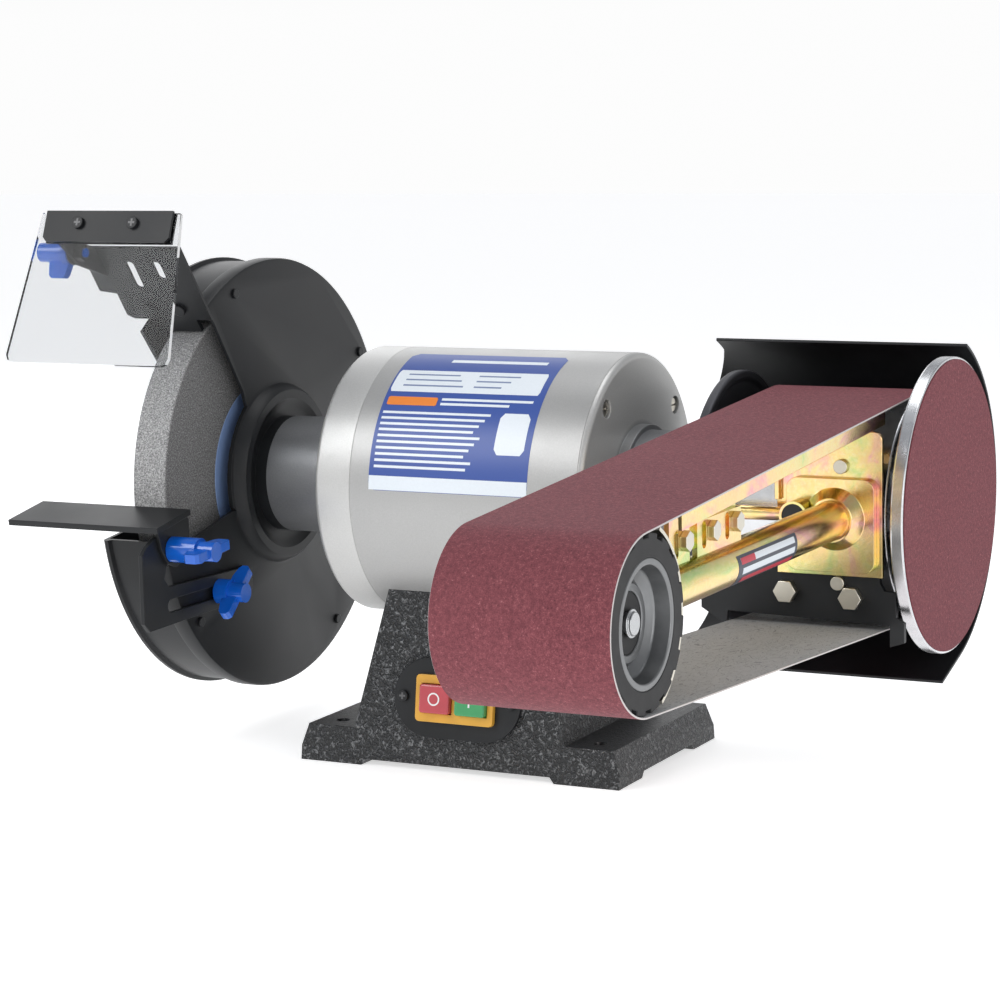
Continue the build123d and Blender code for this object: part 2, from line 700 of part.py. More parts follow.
def guard_ears():
    """Spacer bosses inside the rim for the cover's screws."""
    left, right = GUARD_OUTER_FACE + GUARD_WALL, GUARD_INNER_FACE - 1
    ears = [bar_x(left, right, 4.5, y, z) for y, z in rim_screw_points()]
    return ears[0] + ears[1] + ears[2] + ears[3]


def shield_bracket():
    """Bent plate on the guard that carries the eye shield."""
    points = [
        (-174.5, 0), (-235.5, 0), (SHIELD_EAR_X, 3), (SHIELD_EAR_X, 22), (-253.5, 24), (-253.5, 46),
        (-262, 62), (-174.5, 62),
    ]
    body = bracket_sheet(points, 0, BRACKET_THICKNESS)
    for x, low, high in ((-219, 27, 50), (-198, 35, 50)):
        slot = Rot(0, 0, 90) * extrude(SlotOverall(high - low, 6), 10, both=True)
        body -= on_bracket(Pos(x, (low + high) / 2, 0) * slot)
    for x in BRACKET_SCREWS:
        body -= on_bracket(Pos(x, BRACKET_SCREW_HEIGHT, 0) * Cylinder(2.0, 20))
    return body + bracket_ear()


def bracket_ear():
    """Tab bent forward from the bracket to the shield's pivot."""
    right = SHIELD_EAR_X + FREE_GAP / 2
    y, z = SHIELD_PIVOT
    low, high = bracket_point(36, 1), bracket_point(61, 1)
    tip = around(EAR_RADIUS, 10, -190, 10, y, z)
    ear = side_plate([high] + tip + [low], SHIELD_EAR_X - FREE_GAP / 2 - EAR_THICKNESS, right - FREE_GAP)
    return ear - bar_x(-300, -200, STUD_RADIUS + RUNNING_GAP, y, z)


def guard_screws():
    """Screws round the guard's rim and those that hold the shield bracket."""
    screws = []
    for y, z in rim_screw_points():
        head = bar_x(GUARD_OUTER_FACE - 4, GUARD_OUTER_FACE, 5.5, y, z)
        shank = bar_x(GUARD_OUTER_FACE - 1, GUARD_INNER_FACE + 1, RIM_SCREW_RADIUS, y, z)
        screws.append(head + shank + bar_x(GUARD_INNER_FACE, GUARD_INNER_FACE + 1.8, 3.4, y, z))
    for x in BRACKET_SCREWS:
        head = Pos(x, BRACKET_SCREW_HEIGHT, 1.2) * Cylinder(4.5, 2.4)
        shank = Pos(x, BRACKET_SCREW_HEIGHT, -3.5) * Cylinder(1.9, 8)
        screws.append(on_bracket(head + shank))
    return group(screws)


# ---- eye shield ----------------------------------------------------------------------------------
def on_shield(part):
    """Puts a piece drawn in (X, up the panel) on the panel's front face; local Z points to the front."""
    tilt = math.radians(SHIELD_TILT)
    top = (SHIELD_MIDDLE, SHIELD_TOP[0], SHIELD_TOP[1])
    return Plane(origin=top, x_dir=(1, 0, 0), z_dir=(0, -math.cos(tilt), math.sin(tilt))) * part


def shield_point(up, out):
    """(Y, Z) of a point up the panel from its top edge and out from its front face."""
    tilt = math.radians(SHIELD_TILT)
    y = SHIELD_TOP[0] + up * math.sin(tilt) - out * math.cos(tilt)
    z = SHIELD_TOP[1] + up * math.cos(tilt) + out * math.sin(tilt)
    return (y, z)


def shield_screw_cutters(radius):
    """Round cutters through the panel where its two screws go."""
    holes = [Pos(x, STRIP_SCREW_DROP, 0) * Cylinder(radius, 30) for x in STRIP_SCREWS]
    return on_shield(holes[0]) + on_shield(holes[1])


def shield_panel():
    """Clear plastic panel, wider at the foot."""
    top, foot, corner = SHIELD_TOP_WIDTH / 2, SHIELD_FOOT_WIDTH / 2, 5.0
    points = [
        (-top, 0), (top, 0), (foot, -SHIELD_LENGTH + corner),
        (foot - corner * 0.3, -SHIELD_LENGTH + corner * 0.3),
        (foot - corner, -SHIELD_LENGTH), (-foot + corner, -SHIELD_LENGTH),
        (-foot + corner * 0.3, -SHIELD_LENGTH + corner * 0.3), (-foot, -SHIELD_LENGTH + corner),
    ]
    body = on_shield(extrude(Pos(0, 0, -SHIELD_THICKNESS) * outline(points), SHIELD_THICKNESS))
    return body - shield_screw_cutters(SHIELD_HOLE_RADIUS)


def shield_strip():
    """Bar across the front of the panel."""
    half, high, thick = STRIP_WIDTH / 2, STRIP_HEIGHT, 2.0
    points = [
        (-half, 1), (half, 1), (half, 4 - high), (half - 3, 1 - high), (-half + 3, 1 - high),
        (-half, 4 - high),
    ]
    return on_shield(extrude(outline(points), thick)) - shield_screw_cutters(SHIELD_HOLE_RADIUS)


def shield_hanger():
    """Strip behind the panel with an ear that reaches back to the pivot, and the nut welded to it."""
    half, high, thick = STRIP_WIDTH / 2, STRIP_HEIGHT, 1.5
    y, z = SHIELD_PIVOT
    back = -SHIELD_THICKNESS - thick
    strip = Pos(0, 1 - high / 2, back + thick / 2) * Box(2 * half, high, thick)
    body = on_shield(strip) - shield_screw_cutters(SHIELD_HOLE_RADIUS)
    left = SHIELD_EAR_X + FREE_GAP / 2
    tip = around(EAR_RADIUS, 0, 180, 9, y, z)
    ear = [shield_point(0, back + 0.5)] + tip + [shield_point(1 - high, back + 0.5)]
    body += side_plate(ear, left, left + EAR_THICKNESS)
    nut = Pos(left + EAR_THICKNESS, y, z) * Rot(0, 90, 0) * extrude(RegularPolygon(5.8, 6), 5.0)
    return body + nut - bar_x(-300, -200, STUD_RADIUS + RUNNING_GAP, y, z)


def shield_screws():
    """Two screws with washers and nuts through the strip, the panel and the hanger."""
    screws = []
    for x in STRIP_SCREWS:
        head = Pos(x, STRIP_SCREW_DROP, 3.2) * Cylinder(4.0, 2.4)
        shank = Pos(x, STRIP_SCREW_DROP, -2.5) * Cylinder(1.9, 9.0)
        nut = Pos(x, STRIP_SCREW_DROP, -7.0) * extrude(RegularPolygon(4.2, 6), 2.5)
        screws.append(on_shield(head + shank + nut))
    return group(screws)


# ---- wing knobs ----------------------------------------------------------------------------------
def wing_knob(direction, length, reach, blade_from, blade_to, turn, stud):
    """Plastic wing knob at the origin, on a stud along X that runs back through the plates it clamps."""
    start, end = blade_from * length, blade_to * length
    hub = bar_x(0, start + 3, KNOB_HUB_RADIUS, 0, 0) + bar_x(start + 2, length, KNOB_HUB_RADIUS - 2, 0, 0)
    blade = front_plate(
        [
            (start, -reach * 0.55), (start + 2, -reach + 2), (start + 4, -reach), (end - 2, -reach),
            (end, -reach + 2), (end, reach - 2), (end - 2, reach), (start + 4, reach),
            (start + 2, reach - 2), (start, reach * 0.55),
        ],
        -3.0, 3.0,
    )
    knob = Rot(turn, 0, 0) * (hub + blade + bar_x(-stud, 2, STUD_RADIUS, 0, 0))
    return Rot(0, 0, 180) * knob if direction < 0 else knob


def shield_knob():
    """Knob that clamps the shield's pivot."""
    face = SHIELD_EAR_X - EAR_THICKNESS - 3 * FREE_GAP / 2
    y, z = SHIELD_PIVOT
    stud = 2 * EAR_THICKNESS + 7
    return Pos(face, y, z) * wing_knob(-1, SHIELD_KNOB_LENGTH, SHIELD_KNOB_REACH, 0.06, 0.67, 8, stud)


# ---- work rest -----------------------------------------------------------------------------------
def rest_arm():
    """Slotted plate on the side of the guard; it slides towards the wheel as the wheel wears."""
    points = [
        (-172, 100), (-52, 102), (-45, 108), (-45, 118), (-52, 124), (-148, 126), (-153, 132), (-150, 140),
        (-140, 142), (-135.5, 150), (-139, 159), (-148, 163), (-164, 160), (-173, 155.6), (-178, 151),
        (-178, 106),
    ]
    body = side_plate(points, REST_PLATE_X - REST_ARM_THICKNESS, REST_PLATE_X)
    slot = extrude(SlotOverall(REST_SLOT_LENGTH, 8.6), 20, both=True)
    body -= Pos(REST_PLATE_X, REST_SLOT_MIDDLE, REST_BOLT[1]) * Rot(0, 90, 0) * Rot(0, 0, 90) * slot
    return body - bar_x(-200, -150, STUD_RADIUS + RUNNING_GAP, *REST_PIVOT)


def rest_slide_knob():
    """Knob that clamps the slotted plate against the guard."""
    face = REST_PLATE_X + FREE_GAP
    stud = REST_ARM_THICKNESS + GUARD_WALL + 3
    return Pos(face, *REST_BOLT) * wing_knob(1, SLIDE_KNOB_LENGTH, REST_KNOB_REACH, 0.32, 0.8, -48, stud)


def rest_table():
    """Bent steel table; the flange at its right end turns on the arm's pivot."""
    tilt = math.radians(REST_TILT)
    back_y, back_z = REST_BACK
    front_y, front_z = back_y - REST_DEPTH * math.cos(tilt), back_z - REST_DEPTH * math.sin(tilt)
    down_y, down_z = REST_THICKNESS * math.sin(tilt), -REST_THICKNESS * math.cos(tilt)
    under = [(front_y + down_y, front_z + down_z), (back_y + down_y, back_z + down_z)]
    table = side_plate([REST_BACK, (front_y, front_z)] + under, REST_LEFT, REST_RIGHT)
    flange_left = REST_PLATE_X + FREE_GAP
    points = [
        (-163.5, 165.2), (-129, 171.2), (-125.9, 168), (-125.9, 156), (-133, 142), (-142.6, 138.5),
        (-152, 142), (-159, 152),
    ]
    flange = side_plate(points, flange_left, flange_left + REST_FLANGE_THICKNESS)
    return table + flange - bar_x(-200, -150, STUD_RADIUS + RUNNING_GAP, *REST_PIVOT)


def rest_tilt_knob():
    """Knob that clamps the table's tilt."""
    face = REST_PLATE_X + 2 * FREE_GAP + REST_FLANGE_THICKNESS
    stud = REST_FLANGE_THICKNESS + REST_ARM_THICKNESS + 2 * FREE_GAP
    return Pos(face, *REST_PIVOT) * wing_knob(1, TILT_KNOB_LENGTH, REST_KNOB_REACH, 0.55, 0.95, -84, stud)


# ---- switch --------------------------------------------------------------------------------------
def on_switch_face(part):
    """Puts a piece drawn in (X, up the face) on the leaning front of the base; local Z is outwards."""
    lean = math.atan(BASE_LEAN)
    y = -BASE_DEPTH / 2 + BASE_LEAN * SWITCH_HEIGHT
    forward = (0, -math.cos(lean), math.sin(lean))
    return Plane(origin=(0, y, SWITCH_HEIGHT), x_dir=(1, 0, 0), z_dir=forward) * part


def switch_screw_cutters(radius):
    """Cutters for the two screws beside the switch."""
    left = Pos(-SWITCH_SCREW_X, 0, 0) * Cylinder(radius, 24)
    right = Pos(SWITCH_SCREW_X, 0, 0) * Cylinder(radius, 24)
    return on_switch_face(left) + on_switch_face(right)


def switch_plate():
    """Rounded plate that holds the switch."""
    body = on_switch_face(extrude(SlotOverall(SWITCH_WIDTH, SWITCH_PLATE_HEIGHT), PLATE_STANDS))
    opening = Box(BEZEL_WIDTH - 6, BEZEL_HEIGHT - 6, 20)
    return body - on_switch_face(opening) - switch_screw_cutters(SWITCH_SCREW_HOLE)


def switch_bezel():
    """Switch body with a raised frame round its two buttons."""
    frame = Pos(0, 0, PLATE_STANDS + BEZEL_STANDS / 2) * Box(BEZEL_WIDTH, BEZEL_HEIGHT, BEZEL_STANDS)
    frame = fillet(frame.edges().filter_by(Axis.Z), 3)
    length = SWITCH_BODY_DEPTH + PLATE_STANDS
    body = Pos(0, 0, PLATE_STANDS - length / 2) * Box(BEZEL_WIDTH - 6, BEZEL_HEIGHT - 6, length)
    height = PLATE_STANDS + BEZEL_STANDS - POCKET_FLOOR + 1
    whole = frame + body
    for x in (-BUTTON_PITCH / 2, BUTTON_PITCH / 2):
        pocket = Pos(x, 0, POCKET_FLOOR + height / 2)
        whole -= pocket * Box(BUTTON_WIDTH + 2 * FREE_GAP, BUTTON_HEIGHT + 2 * FREE_GAP, height)
    return on_switch_face(whole)


def switch_screws():
    """Two pan-head screws beside the switch."""
    screws = []
    for x in (-SWITCH_SCREW_X, SWITCH_SCREW_X):
        head = Pos(x, 0, PLATE_STANDS + 1.1) * Cylinder(3.8, 2.2)
        shank = Pos(x, 0, PLATE_STANDS - 4) * Cylinder(1.7, 9)
        screws.append(on_switch_face(head + shank))
    return group(screws)


def button(x, proud):
    """One push button, standing a little proud of its frame."""
    top = PLATE_STANDS + BEZEL_STANDS + proud
    foot = POCKET_FLOOR + BUTTON_TRAVEL + FREE_GAP
    block = Pos(x, 0, (top + foot) / 2) * Box(BUTTON_WIDTH, BUTTON_HEIGHT, top - foot)
    block = fillet(block.edges().filter_by(Axis.Z), 2)
    return on_switch_face(block)


# ---- hub for the belt arm ------------------------------------------------------------------------
def mount_hub():
    """Round flange on the right neck with the spigot that the belt arm turns on."""
    back, dish = HUB_FACE - HUB_FLANGE_THICKNESS, HUB_FACE - 2.5
    spigot_end = HUB_FACE + SPIGOT_LENGTH
    return turned(
        [
            (NECK_END, BEARING_RADIUS - BEARING_LIP), (NECK_END, NECK_RADIUS), (back, NECK_RADIUS),
            (back, HUB_FLANGE_RADIUS - 1), (back + 1, HUB_FLANGE_RADIUS),
            (HUB_FACE - 1, HUB_FLANGE_RADIUS), (HUB_FACE, HUB_FLANGE_RADIUS - 1),
            (HUB_FACE, HUB_FLANGE_RADIUS - 5), (dish, HUB_FLANGE_RADIUS - 7.5), (dish, SPIGOT_RADIUS + 9),
            (HUB_FACE, SPIGOT_RADIUS + 7), (HUB_FACE, SPIGOT_RADIUS), (spigot_end, SPIGOT_RADIUS),
            (spigot_end, SPIGOT_RADIUS - 7), (HUB_FACE, SPIGOT_RADIUS - 10),
            (HUB_FACE, BEARING_RADIUS - BEARING_LIP),
        ]
    )


# ---- belt arm ------------------------------------------------------------------------------------
def clamp_side():
    """Side plate of the arm, between the hub's flange and the belt."""
    h = SPINDLE_HEIGHT
    outer = SPIGOT_RADIUS + 10
    nose = [(-PLATE_BACK, h + 10), (-PLATE_BACK, h - 56)]
    tail = around(HOOD_RADIUS - FREE_GAP / 2, 163, 146, 3)
    low = around(outer, 200, 185, 3)
    rest = around(outer, 125, -70, 14)
    points = nose + low + tail + rest
    return side_plate(points, CLAMP_LEFT + 2, CLAMP_LEFT + 2 + CLAMP_THICKNESS)


def arm_clamp():
    """Ring round the hub's spigot with the side plate that carries the frame and the hood."""
    ring = bar_x(CLAMP_LEFT, HUB_FACE + SPIGOT_LENGTH - 1, SPIGOT_RADIUS + 8)
    body = ring + clamp_side()
    return body - bar_x(CLAMP_LEFT - 1, CLAMP_LEFT + 40, SPIGOT_RADIUS + RUNNING_GAP)


def gusset_bracket():
    """Black plate behind the frame plate, with tabs outside the belt's edges."""
    h = SPINDLE_HEIGHT
    left, tab = CLAMP_LEFT + 2, BELT_RIGHT + 4.5
    points = [
        (left, h - 46), (left, h - 59), (BELT_LEFT - 2, h - 69), (BELT_LEFT - 0.8, h - 60), (tab, h - 63),
        (tab, h - 76), (tab + 9, h - 73), (tab + 9, h - 61), (DISC_BACK - 0.6, h - 58),
        (DISC_BACK - 0.6, h - 42.5),
        (PLATE_RIGHT, h - 42), (PLATE_RIGHT - 3, h - 37), (PLATE_RIGHT - 3, h + 40),
        (PLATE_LEFT + 5, h + 40),
        (PLATE_LEFT + 2, h - 27),
    ]
    body = front_plate(points, PLATE_FACE + PLATE_THICKNESS, -PLATE_BACK)
    for x, above in GUSSET_BOLTS + FRAME_SCREWS:
        body -= bar_y(-120, -60, FRAME_HOLE_RADIUS, x, h + above)
    return body


def frame_plate():
    """Yellow-passivated plate in front of the gusset, with its left edge folded forward."""
    h = SPINDLE_HEIGHT
    low, high = h - 33.5, h + 55
    points = [(PLATE_LEFT, low), (PLATE_RIGHT, low), (PLATE_RIGHT, high), (PLATE_LEFT, high)]
    body = front_plate(points, PLATE_FACE, PLATE_FACE + PLATE_THICKNESS)
    body = fillet(body.edges().filter_by(Axis.Y).sort_by(Axis.Z)[-2:], 5)
    body += box(PLATE_LEFT, PLATE_LEFT + PLATE_THICKNESS, PLATE_FACE - 4, PLATE_FACE + 1, h + 12, h + 48)
    x, above = FRAME_SCREWS[0]
    return body - bar_y(-120, -60, FRAME_HOLE_RADIUS, x, h + above)


def frame_bolts():
    """Hexagon bolts through the gusset and round-head screws through the frame plate."""
    h = SPINDLE_HEIGHT
    front = PLATE_FACE + PLATE_THICKNESS
    screws = []
    for x, above in GUSSET_BOLTS:
        head = Pos(x, front, h + above) * Rot(90, 0, 0) * extrude(RegularPolygon(7.5, 6), 5.3)
        nut = Pos(x, -PLATE_BACK + 5, h + above) * Rot(90, 0, 0) * extrude(RegularPolygon(7.5, 6), 5.0)
        screws.append(head + nut + bar_y(front - 1, -PLATE_BACK + 1, FRAME_BOLT_RADIUS, x, h + above))
    for (x, above), seat in zip(FRAME_SCREWS, (PLATE_FACE, PLATE_FACE + PLATE_THICKNESS)):
        head = bar_y(seat - 3.0, seat, 4.4, x, h + above)
        screws.append(head + bar_y(seat - 1, -PLATE_BACK + 1, FRAME_BOLT_RADIUS, x, h + above))
    return group(screws)


def tube_flange():
    """Rounded flange with the collar that the tube is welded into."""
    h = SPINDLE_HEIGHT
    face = PLATE_FACE - TUBE_FLANGE_DEPTH
    plate = Pos(TUBE_X - 3, (face + PLATE_FACE) / 2, h - 2) * Box(56, TUBE_FLANGE_DEPTH, 57)
    plate = fillet(plate.edges().filter_by(Axis.Y), 7)
    weld = Cone(TUBE_RADIUS + 7, TUBE_RADIUS + 1.5, 7)
    collar = Pos(TUBE_X, face - 3.5, h + TUBE_Z) * Rot(90, 0, 0) * weld
    collar -= bar_y(face - 10, face, LEVER_BOSS_RADIUS + 2 * FREE_GAP, LEVER_X, h + LEVER_Z)
    body = plate + collar - bar_y(PLATE_FACE - 40, PLATE_FACE - 1, TUBE_RADIUS, TUBE_X, h + TUBE_Z)
    return body + bar_y(LEVER_FRONT + 3, PLATE_FACE - 1, LEVER_PIN_RADIUS, LEVER_X, h + LEVER_Z)


def arm_tube():
    """Round tube that the idler's slide runs in."""
    z = SPINDLE_HEIGHT + TUBE_Z
    body = bar_y(TUBE_FRONT, PLATE_FACE - 1, TUBE_RADIUS, TUBE_X, z)
    return body - bar_y(TUBE_FRONT - 1, PLATE_FACE, TUBE_RADIUS - TUBE_WALL, TUBE_X, z)


def belt_line(radius, y):
    """Height above the spindle of the upper run of a loop that passes round the drive wheel at a radius."""
    return (radius + y * math.sin(BELT_SLOPE)) / math.cos(BELT_SLOPE)


def loop_face(drive, idler):
    """Face inside the loop, with true arcs round the wheels."""
    wrap = math.degrees(BELT_SLOPE)
    rear = around(drive, -wrap, 180 + wrap, 2)
    front = around(idler, 180 + wrap, 360 - wrap, 2, y=IDLER_Y)
    runs = [Line(rear[2], front[0]), Line(front[2], rear[0])]
    return make_face([ThreePointArc(*rear), runs[0], ThreePointArc(*front), runs[1]])


def sanding_belt():
    """Endless cloth belt."""
    inner = loop_face(BELT_OVER_DRIVE - BELT_THICKNESS, BELT_OVER_IDLER - BELT_THICKNESS)
    outer = loop_face(BELT_OVER_DRIVE, BELT_OVER_IDLER)
    return extrude(Plane.YZ.offset(BELT_LEFT) * (outer - inner), BELT_WIDTH)


def platen():
    """Flat steel support under the belt's upper run, with turned-down edges."""
    h = SPINDLE_HEIGHT
    under = BELT_OVER_DRIVE - BELT_THICKNESS - FREE_GAP
    left, right = BELT_LEFT + 4, BELT_RIGHT - 2.5
    near, far = PLATEN_BACK, PLATEN_FRONT
    top = [(near, h + belt_line(under, near)), (far, h + belt_line(under, far))]
    sheet = side_plate(top + [(y, z - PLATEN_THICKNESS) for y, z in reversed(top)], left, right)
    edge = top + [(y, z - PLATEN_LIP) for y, z in reversed(top)]
    left_edge = side_plate(edge, left, left + PLATEN_THICKNESS)
    right_edge = side_plate(edge, right - PLATEN_THICKNESS, right)
    return sheet + left_edge + right_edge + platen_hanger()


def platen_hanger():
    """Lug under the platen that is bolted to the slotted plates."""
    h = SPINDLE_HEIGHT
    under = BELT_OVER_DRIVE - BELT_THICKNESS - FREE_GAP
    y0, y1, low = PLATEN_BOLTS[0] - 9, PLATEN_BOLTS[-1] + 9, PLATEN_BOLT_Z - 8
    points = [
        (y0, h + belt_line(under, y0) - 1), (y1, h + belt_line(under, y1) - 1),
        (y1, h + low), (y0, h + low),
    ]
    lug = side_plate(points, BRACKET_X - 3, BRACKET_X)
    for y in PLATEN_BOLTS:
        lug -= bar_x(BRACKET_X - 10, BRACKET_X + 1, FRAME_HOLE_RADIUS, y, h + PLATEN_BOLT_Z)
    return lug


def platen_bracket():
    """Two slotted plates that stand on the tube and hold the platen's lug."""
    h = SPINDLE_HEIGHT
    plates = []
    for y0, y1, top in ((-342.0, -315.0, 39.5), (-304.5, -242.8, 32.8)):
        plate = box(BRACKET_X, BRACKET_X + 3, y0, y1, h + 8, h + top)
        for slot_y, bolt_y in zip(PLATEN_SLOTS, PLATEN_BOLTS):
            slot = extrude(SlotOverall(15, 5.6), 10, both=True)
            plate -= Pos(BRACKET_X, slot_y, h + PLATEN_BOLT_Z - 1) * Rot(0, 90, 0) * slot
            plate -= bar_x(BRACKET_X - 10, BRACKET_X + 10, FRAME_HOLE_RADIUS, bolt_y, h + PLATEN_BOLT_Z)
        plates.append(plate - bar_y(-400, -200, TUBE_RADIUS, TUBE_X, h + TUBE_Z))
    return group(plates)


def platen_bolts():
    """Bolts through the slots, with nuts behind the platen's lug."""
    h = SPINDLE_HEIGHT
    screws = []
    for y in PLATEN_BOLTS:
        z = h + PLATEN_BOLT_Z
        blank = Rot(0, 90, 0) * extrude(RegularPolygon(PLATEN_BOLT_HEAD, 6), 5.0)
        head = Pos(BRACKET_X + 3, y, z) * Rot(0, 90, 0) * extrude(RegularPolygon(PLATEN_BOLT_HEAD, 6), 4.0)
        nut = Pos(BRACKET_X - 8, y, z) * blank
        screws.append(head + nut + bar_x(BRACKET_X - 7, BRACKET_X + 4, FRAME_BOLT_RADIUS, y, z))
    return group(screws)


def hood():
    """Rolled cover behind the drive wheel and the disc, with a straight tail under them."""
    lines = []
    end = math.radians(HOOD_END)
    for radius in (HOOD_RADIUS + HOOD_THICKNESS, HOOD_RADIUS):
        line = around(radius, HOOD_START, HOOD_END, 40)
        y, z = line[-1]
        lines.append(line + [(y + HOOD_TAIL * math.cos(end), z - HOOD_TAIL * math.sin(end))])
    body = side_plate(lines[0] + lines[1][::-1], HOOD_LEFT, HOOD_RIGHT)
    edge = HOOD_LEFT - 1
    trim = [(edge, 0), (HOOD_LEFT + 4, 0), (HOOD_LEFT, 245), (137, 270), (137, 330), (edge, 330)]
    return body - front_plate(trim, -10, 200)


def lever_rod():
    """Tapered rod from the lever's boss to its left end."""
    root, tip = LEVER_X - 6, LEVER_LEFT + 4
    middle = (LEVER_FRONT + LEVER_BACK) / 2
    place = Pos((root + tip) / 2, middle, SPINDLE_HEIGHT + LEVER_Z)
    return place * Rot(0, 90, 0) * Cone(LEVER_ROOT_RADIUS, LEVER_TIP_RADIUS, root - tip)


def tension_lever():
    """Lever that lets the idler back when the belt is changed: a boss on a pin and a rod to the left."""
    z = SPINDLE_HEIGHT + LEVER_Z
    boss = bar_y(LEVER_FRONT, LEVER_BACK, LEVER_BOSS_RADIUS, LEVER_X, z)
    recess = bar_y(LEVER_FRONT - 1, LEVER_FRONT + 2, LEVER_BOSS_RADIUS - 1.6, LEVER_X, z)
    bore = bar_y(LEVER_FRONT + 1, LEVER_BACK + 1, LEVER_PIN_RADIUS + RUNNING_GAP, LEVER_X, z)
    return boss + lever_rod() - recess - bore


def lever_plug():
    """Black plug in the front of the lever's boss."""
    z = SPINDLE_HEIGHT + LEVER_Z
    return bar_y(LEVER_FRONT + 0.3, LEVER_FRONT + 2, LEVER_BOSS_RADIUS - 1.6, LEVER_X, z)


def lever_grip():
    """Rubber sleeve on the lever's end, outside the belt."""
    middle = (LEVER_FRONT + LEVER_BACK) / 2
    sleeve = bar_x(LEVER_LEFT - 24, LEVER_LEFT + 14, GRIP_RADIUS, middle, SPINDLE_HEIGHT + LEVER_Z)
    return sleeve - lever_rod()


# ---- idler ---------------------------------------------------------------------------------------
def carriage_rod():
    """Rod that slides in the tube and carries the idler."""
    z = SPINDLE_HEIGHT + TUBE_Z
    radius = TUBE_RADIUS - TUBE_WALL - RUNNING_GAP
    rod = bar_y(IDLER_Y + FENDER_RADIUS, TUBE_FRONT + 120, radius, TUBE_X, z)
    return rod - bar_x(TUBE_X - 30, TUBE_X + 30, FENDER_RADIUS + FENDER_THICKNESS, IDLER_Y)


def idler_fender():
    """Rolled plate behind the idler with the side plate that holds its axle."""
    outer = around(FENDER_RADIUS + FENDER_THICKNESS, FENDER_START, FENDER_END, 20, y=IDLER_Y)
    inner = around(FENDER_RADIUS, FENDER_START, FENDER_END, 20, y=IDLER_Y)
    body = side_plate(outer + inner[::-1], FORK_LEFT, FENDER_RIGHT)
    web = around(FENDER_RADIUS + FENDER_THICKNESS, 50, 130, 12, y=IDLER_Y)
    boss = around(14, 190, 350, 8, y=IDLER_Y)
    body += side_plate(web + boss, FORK_LEFT, FORK_LEFT + FORK_THICKNESS)
    return body - bar_x(FORK_LEFT - 1, FORK_LEFT + 10, AXLE_RADIUS, IDLER_Y)


def idler_axle():
    """Axle held in the side plate; its nut is outside and a clip keeps the idler on."""
    end = IDLER_RIGHT - IDLER_BOSS_INSET + 3.5
    axle = bar_x(FORK_LEFT - 8, end, AXLE_RADIUS, IDLER_Y)
    blank = Rot(0, 90, 0) * extrude(RegularPolygon(9.5, 6), 6.0)
    nut = Pos(FORK_LEFT - 6, IDLER_Y, SPINDLE_HEIGHT) * blank
    seat = IDLER_LEFT + IDLER_BOSS_INSET - FREE_GAP
    shoulder = bar_x(FORK_LEFT + FORK_THICKNESS, seat, AXLE_RADIUS + 2, IDLER_Y)
    clip = bar_x(end - 2.6, end - 1.4, AXLE_RADIUS + 1.5, IDLER_Y)
    return axle + nut + shoulder + clip


def idler_hub():
    """Aluminium wheel, dished at both ends."""
    rim = IDLER_RADIUS - TYRE_THICKNESS
    boss = IDLER_BEARING_RADIUS + 5
    left, right = IDLER_LEFT, IDLER_RIGHT
    inset = right - IDLER_BOSS_INSET
    half = [
        (right, rim), (right, rim - 3.5), (right - 9, rim - 5), (right - 13, boss + 2),
        (right - 11.5, boss), (inset, boss - 0.5), (inset, IDLER_BEARING_RADIUS),
    ]
    body = turned(half + [(left + right - x, radius) for x, radius in reversed(half)])
    return Pos(0, IDLER_Y, 0) * body


def idler_tyre():
    """Rubber tyre with grooves across it."""
    inner = IDLER_RADIUS - TYRE_THICKNESS
    body = tube_x(IDLER_LEFT, IDLER_RIGHT, IDLER_RADIUS, inner, IDLER_Y)
    for step in range(TYRE_GROOVES):
        angle = 360 / TYRE_GROOVES * step
        cutter = Box(120, GROOVE_WIDTH, 2 * GROOVE_DEPTH)
        groove = Pos((IDLER_LEFT + IDLER_RIGHT) / 2, 0, IDLER_RADIUS) * cutter
        body -= Pos(0, IDLER_Y, SPINDLE_HEIGHT) * Rot(angle, 0, 0) * groove
    return body


def idler_bearings():
    """Ball bearing in each end of the idler."""
    rings = []
    inset, width = IDLER_BOSS_INSET + 0.8, IDLER_BEARING_WIDTH
    for x in (IDLER_LEFT + inset, IDLER_RIGHT - inset - width):
        rings.append(tube_x(x, x + width, IDLER_BEARING_RADIUS, AXLE_RADIUS + RUNNING_GAP, IDLER_Y))
    return group(rings)


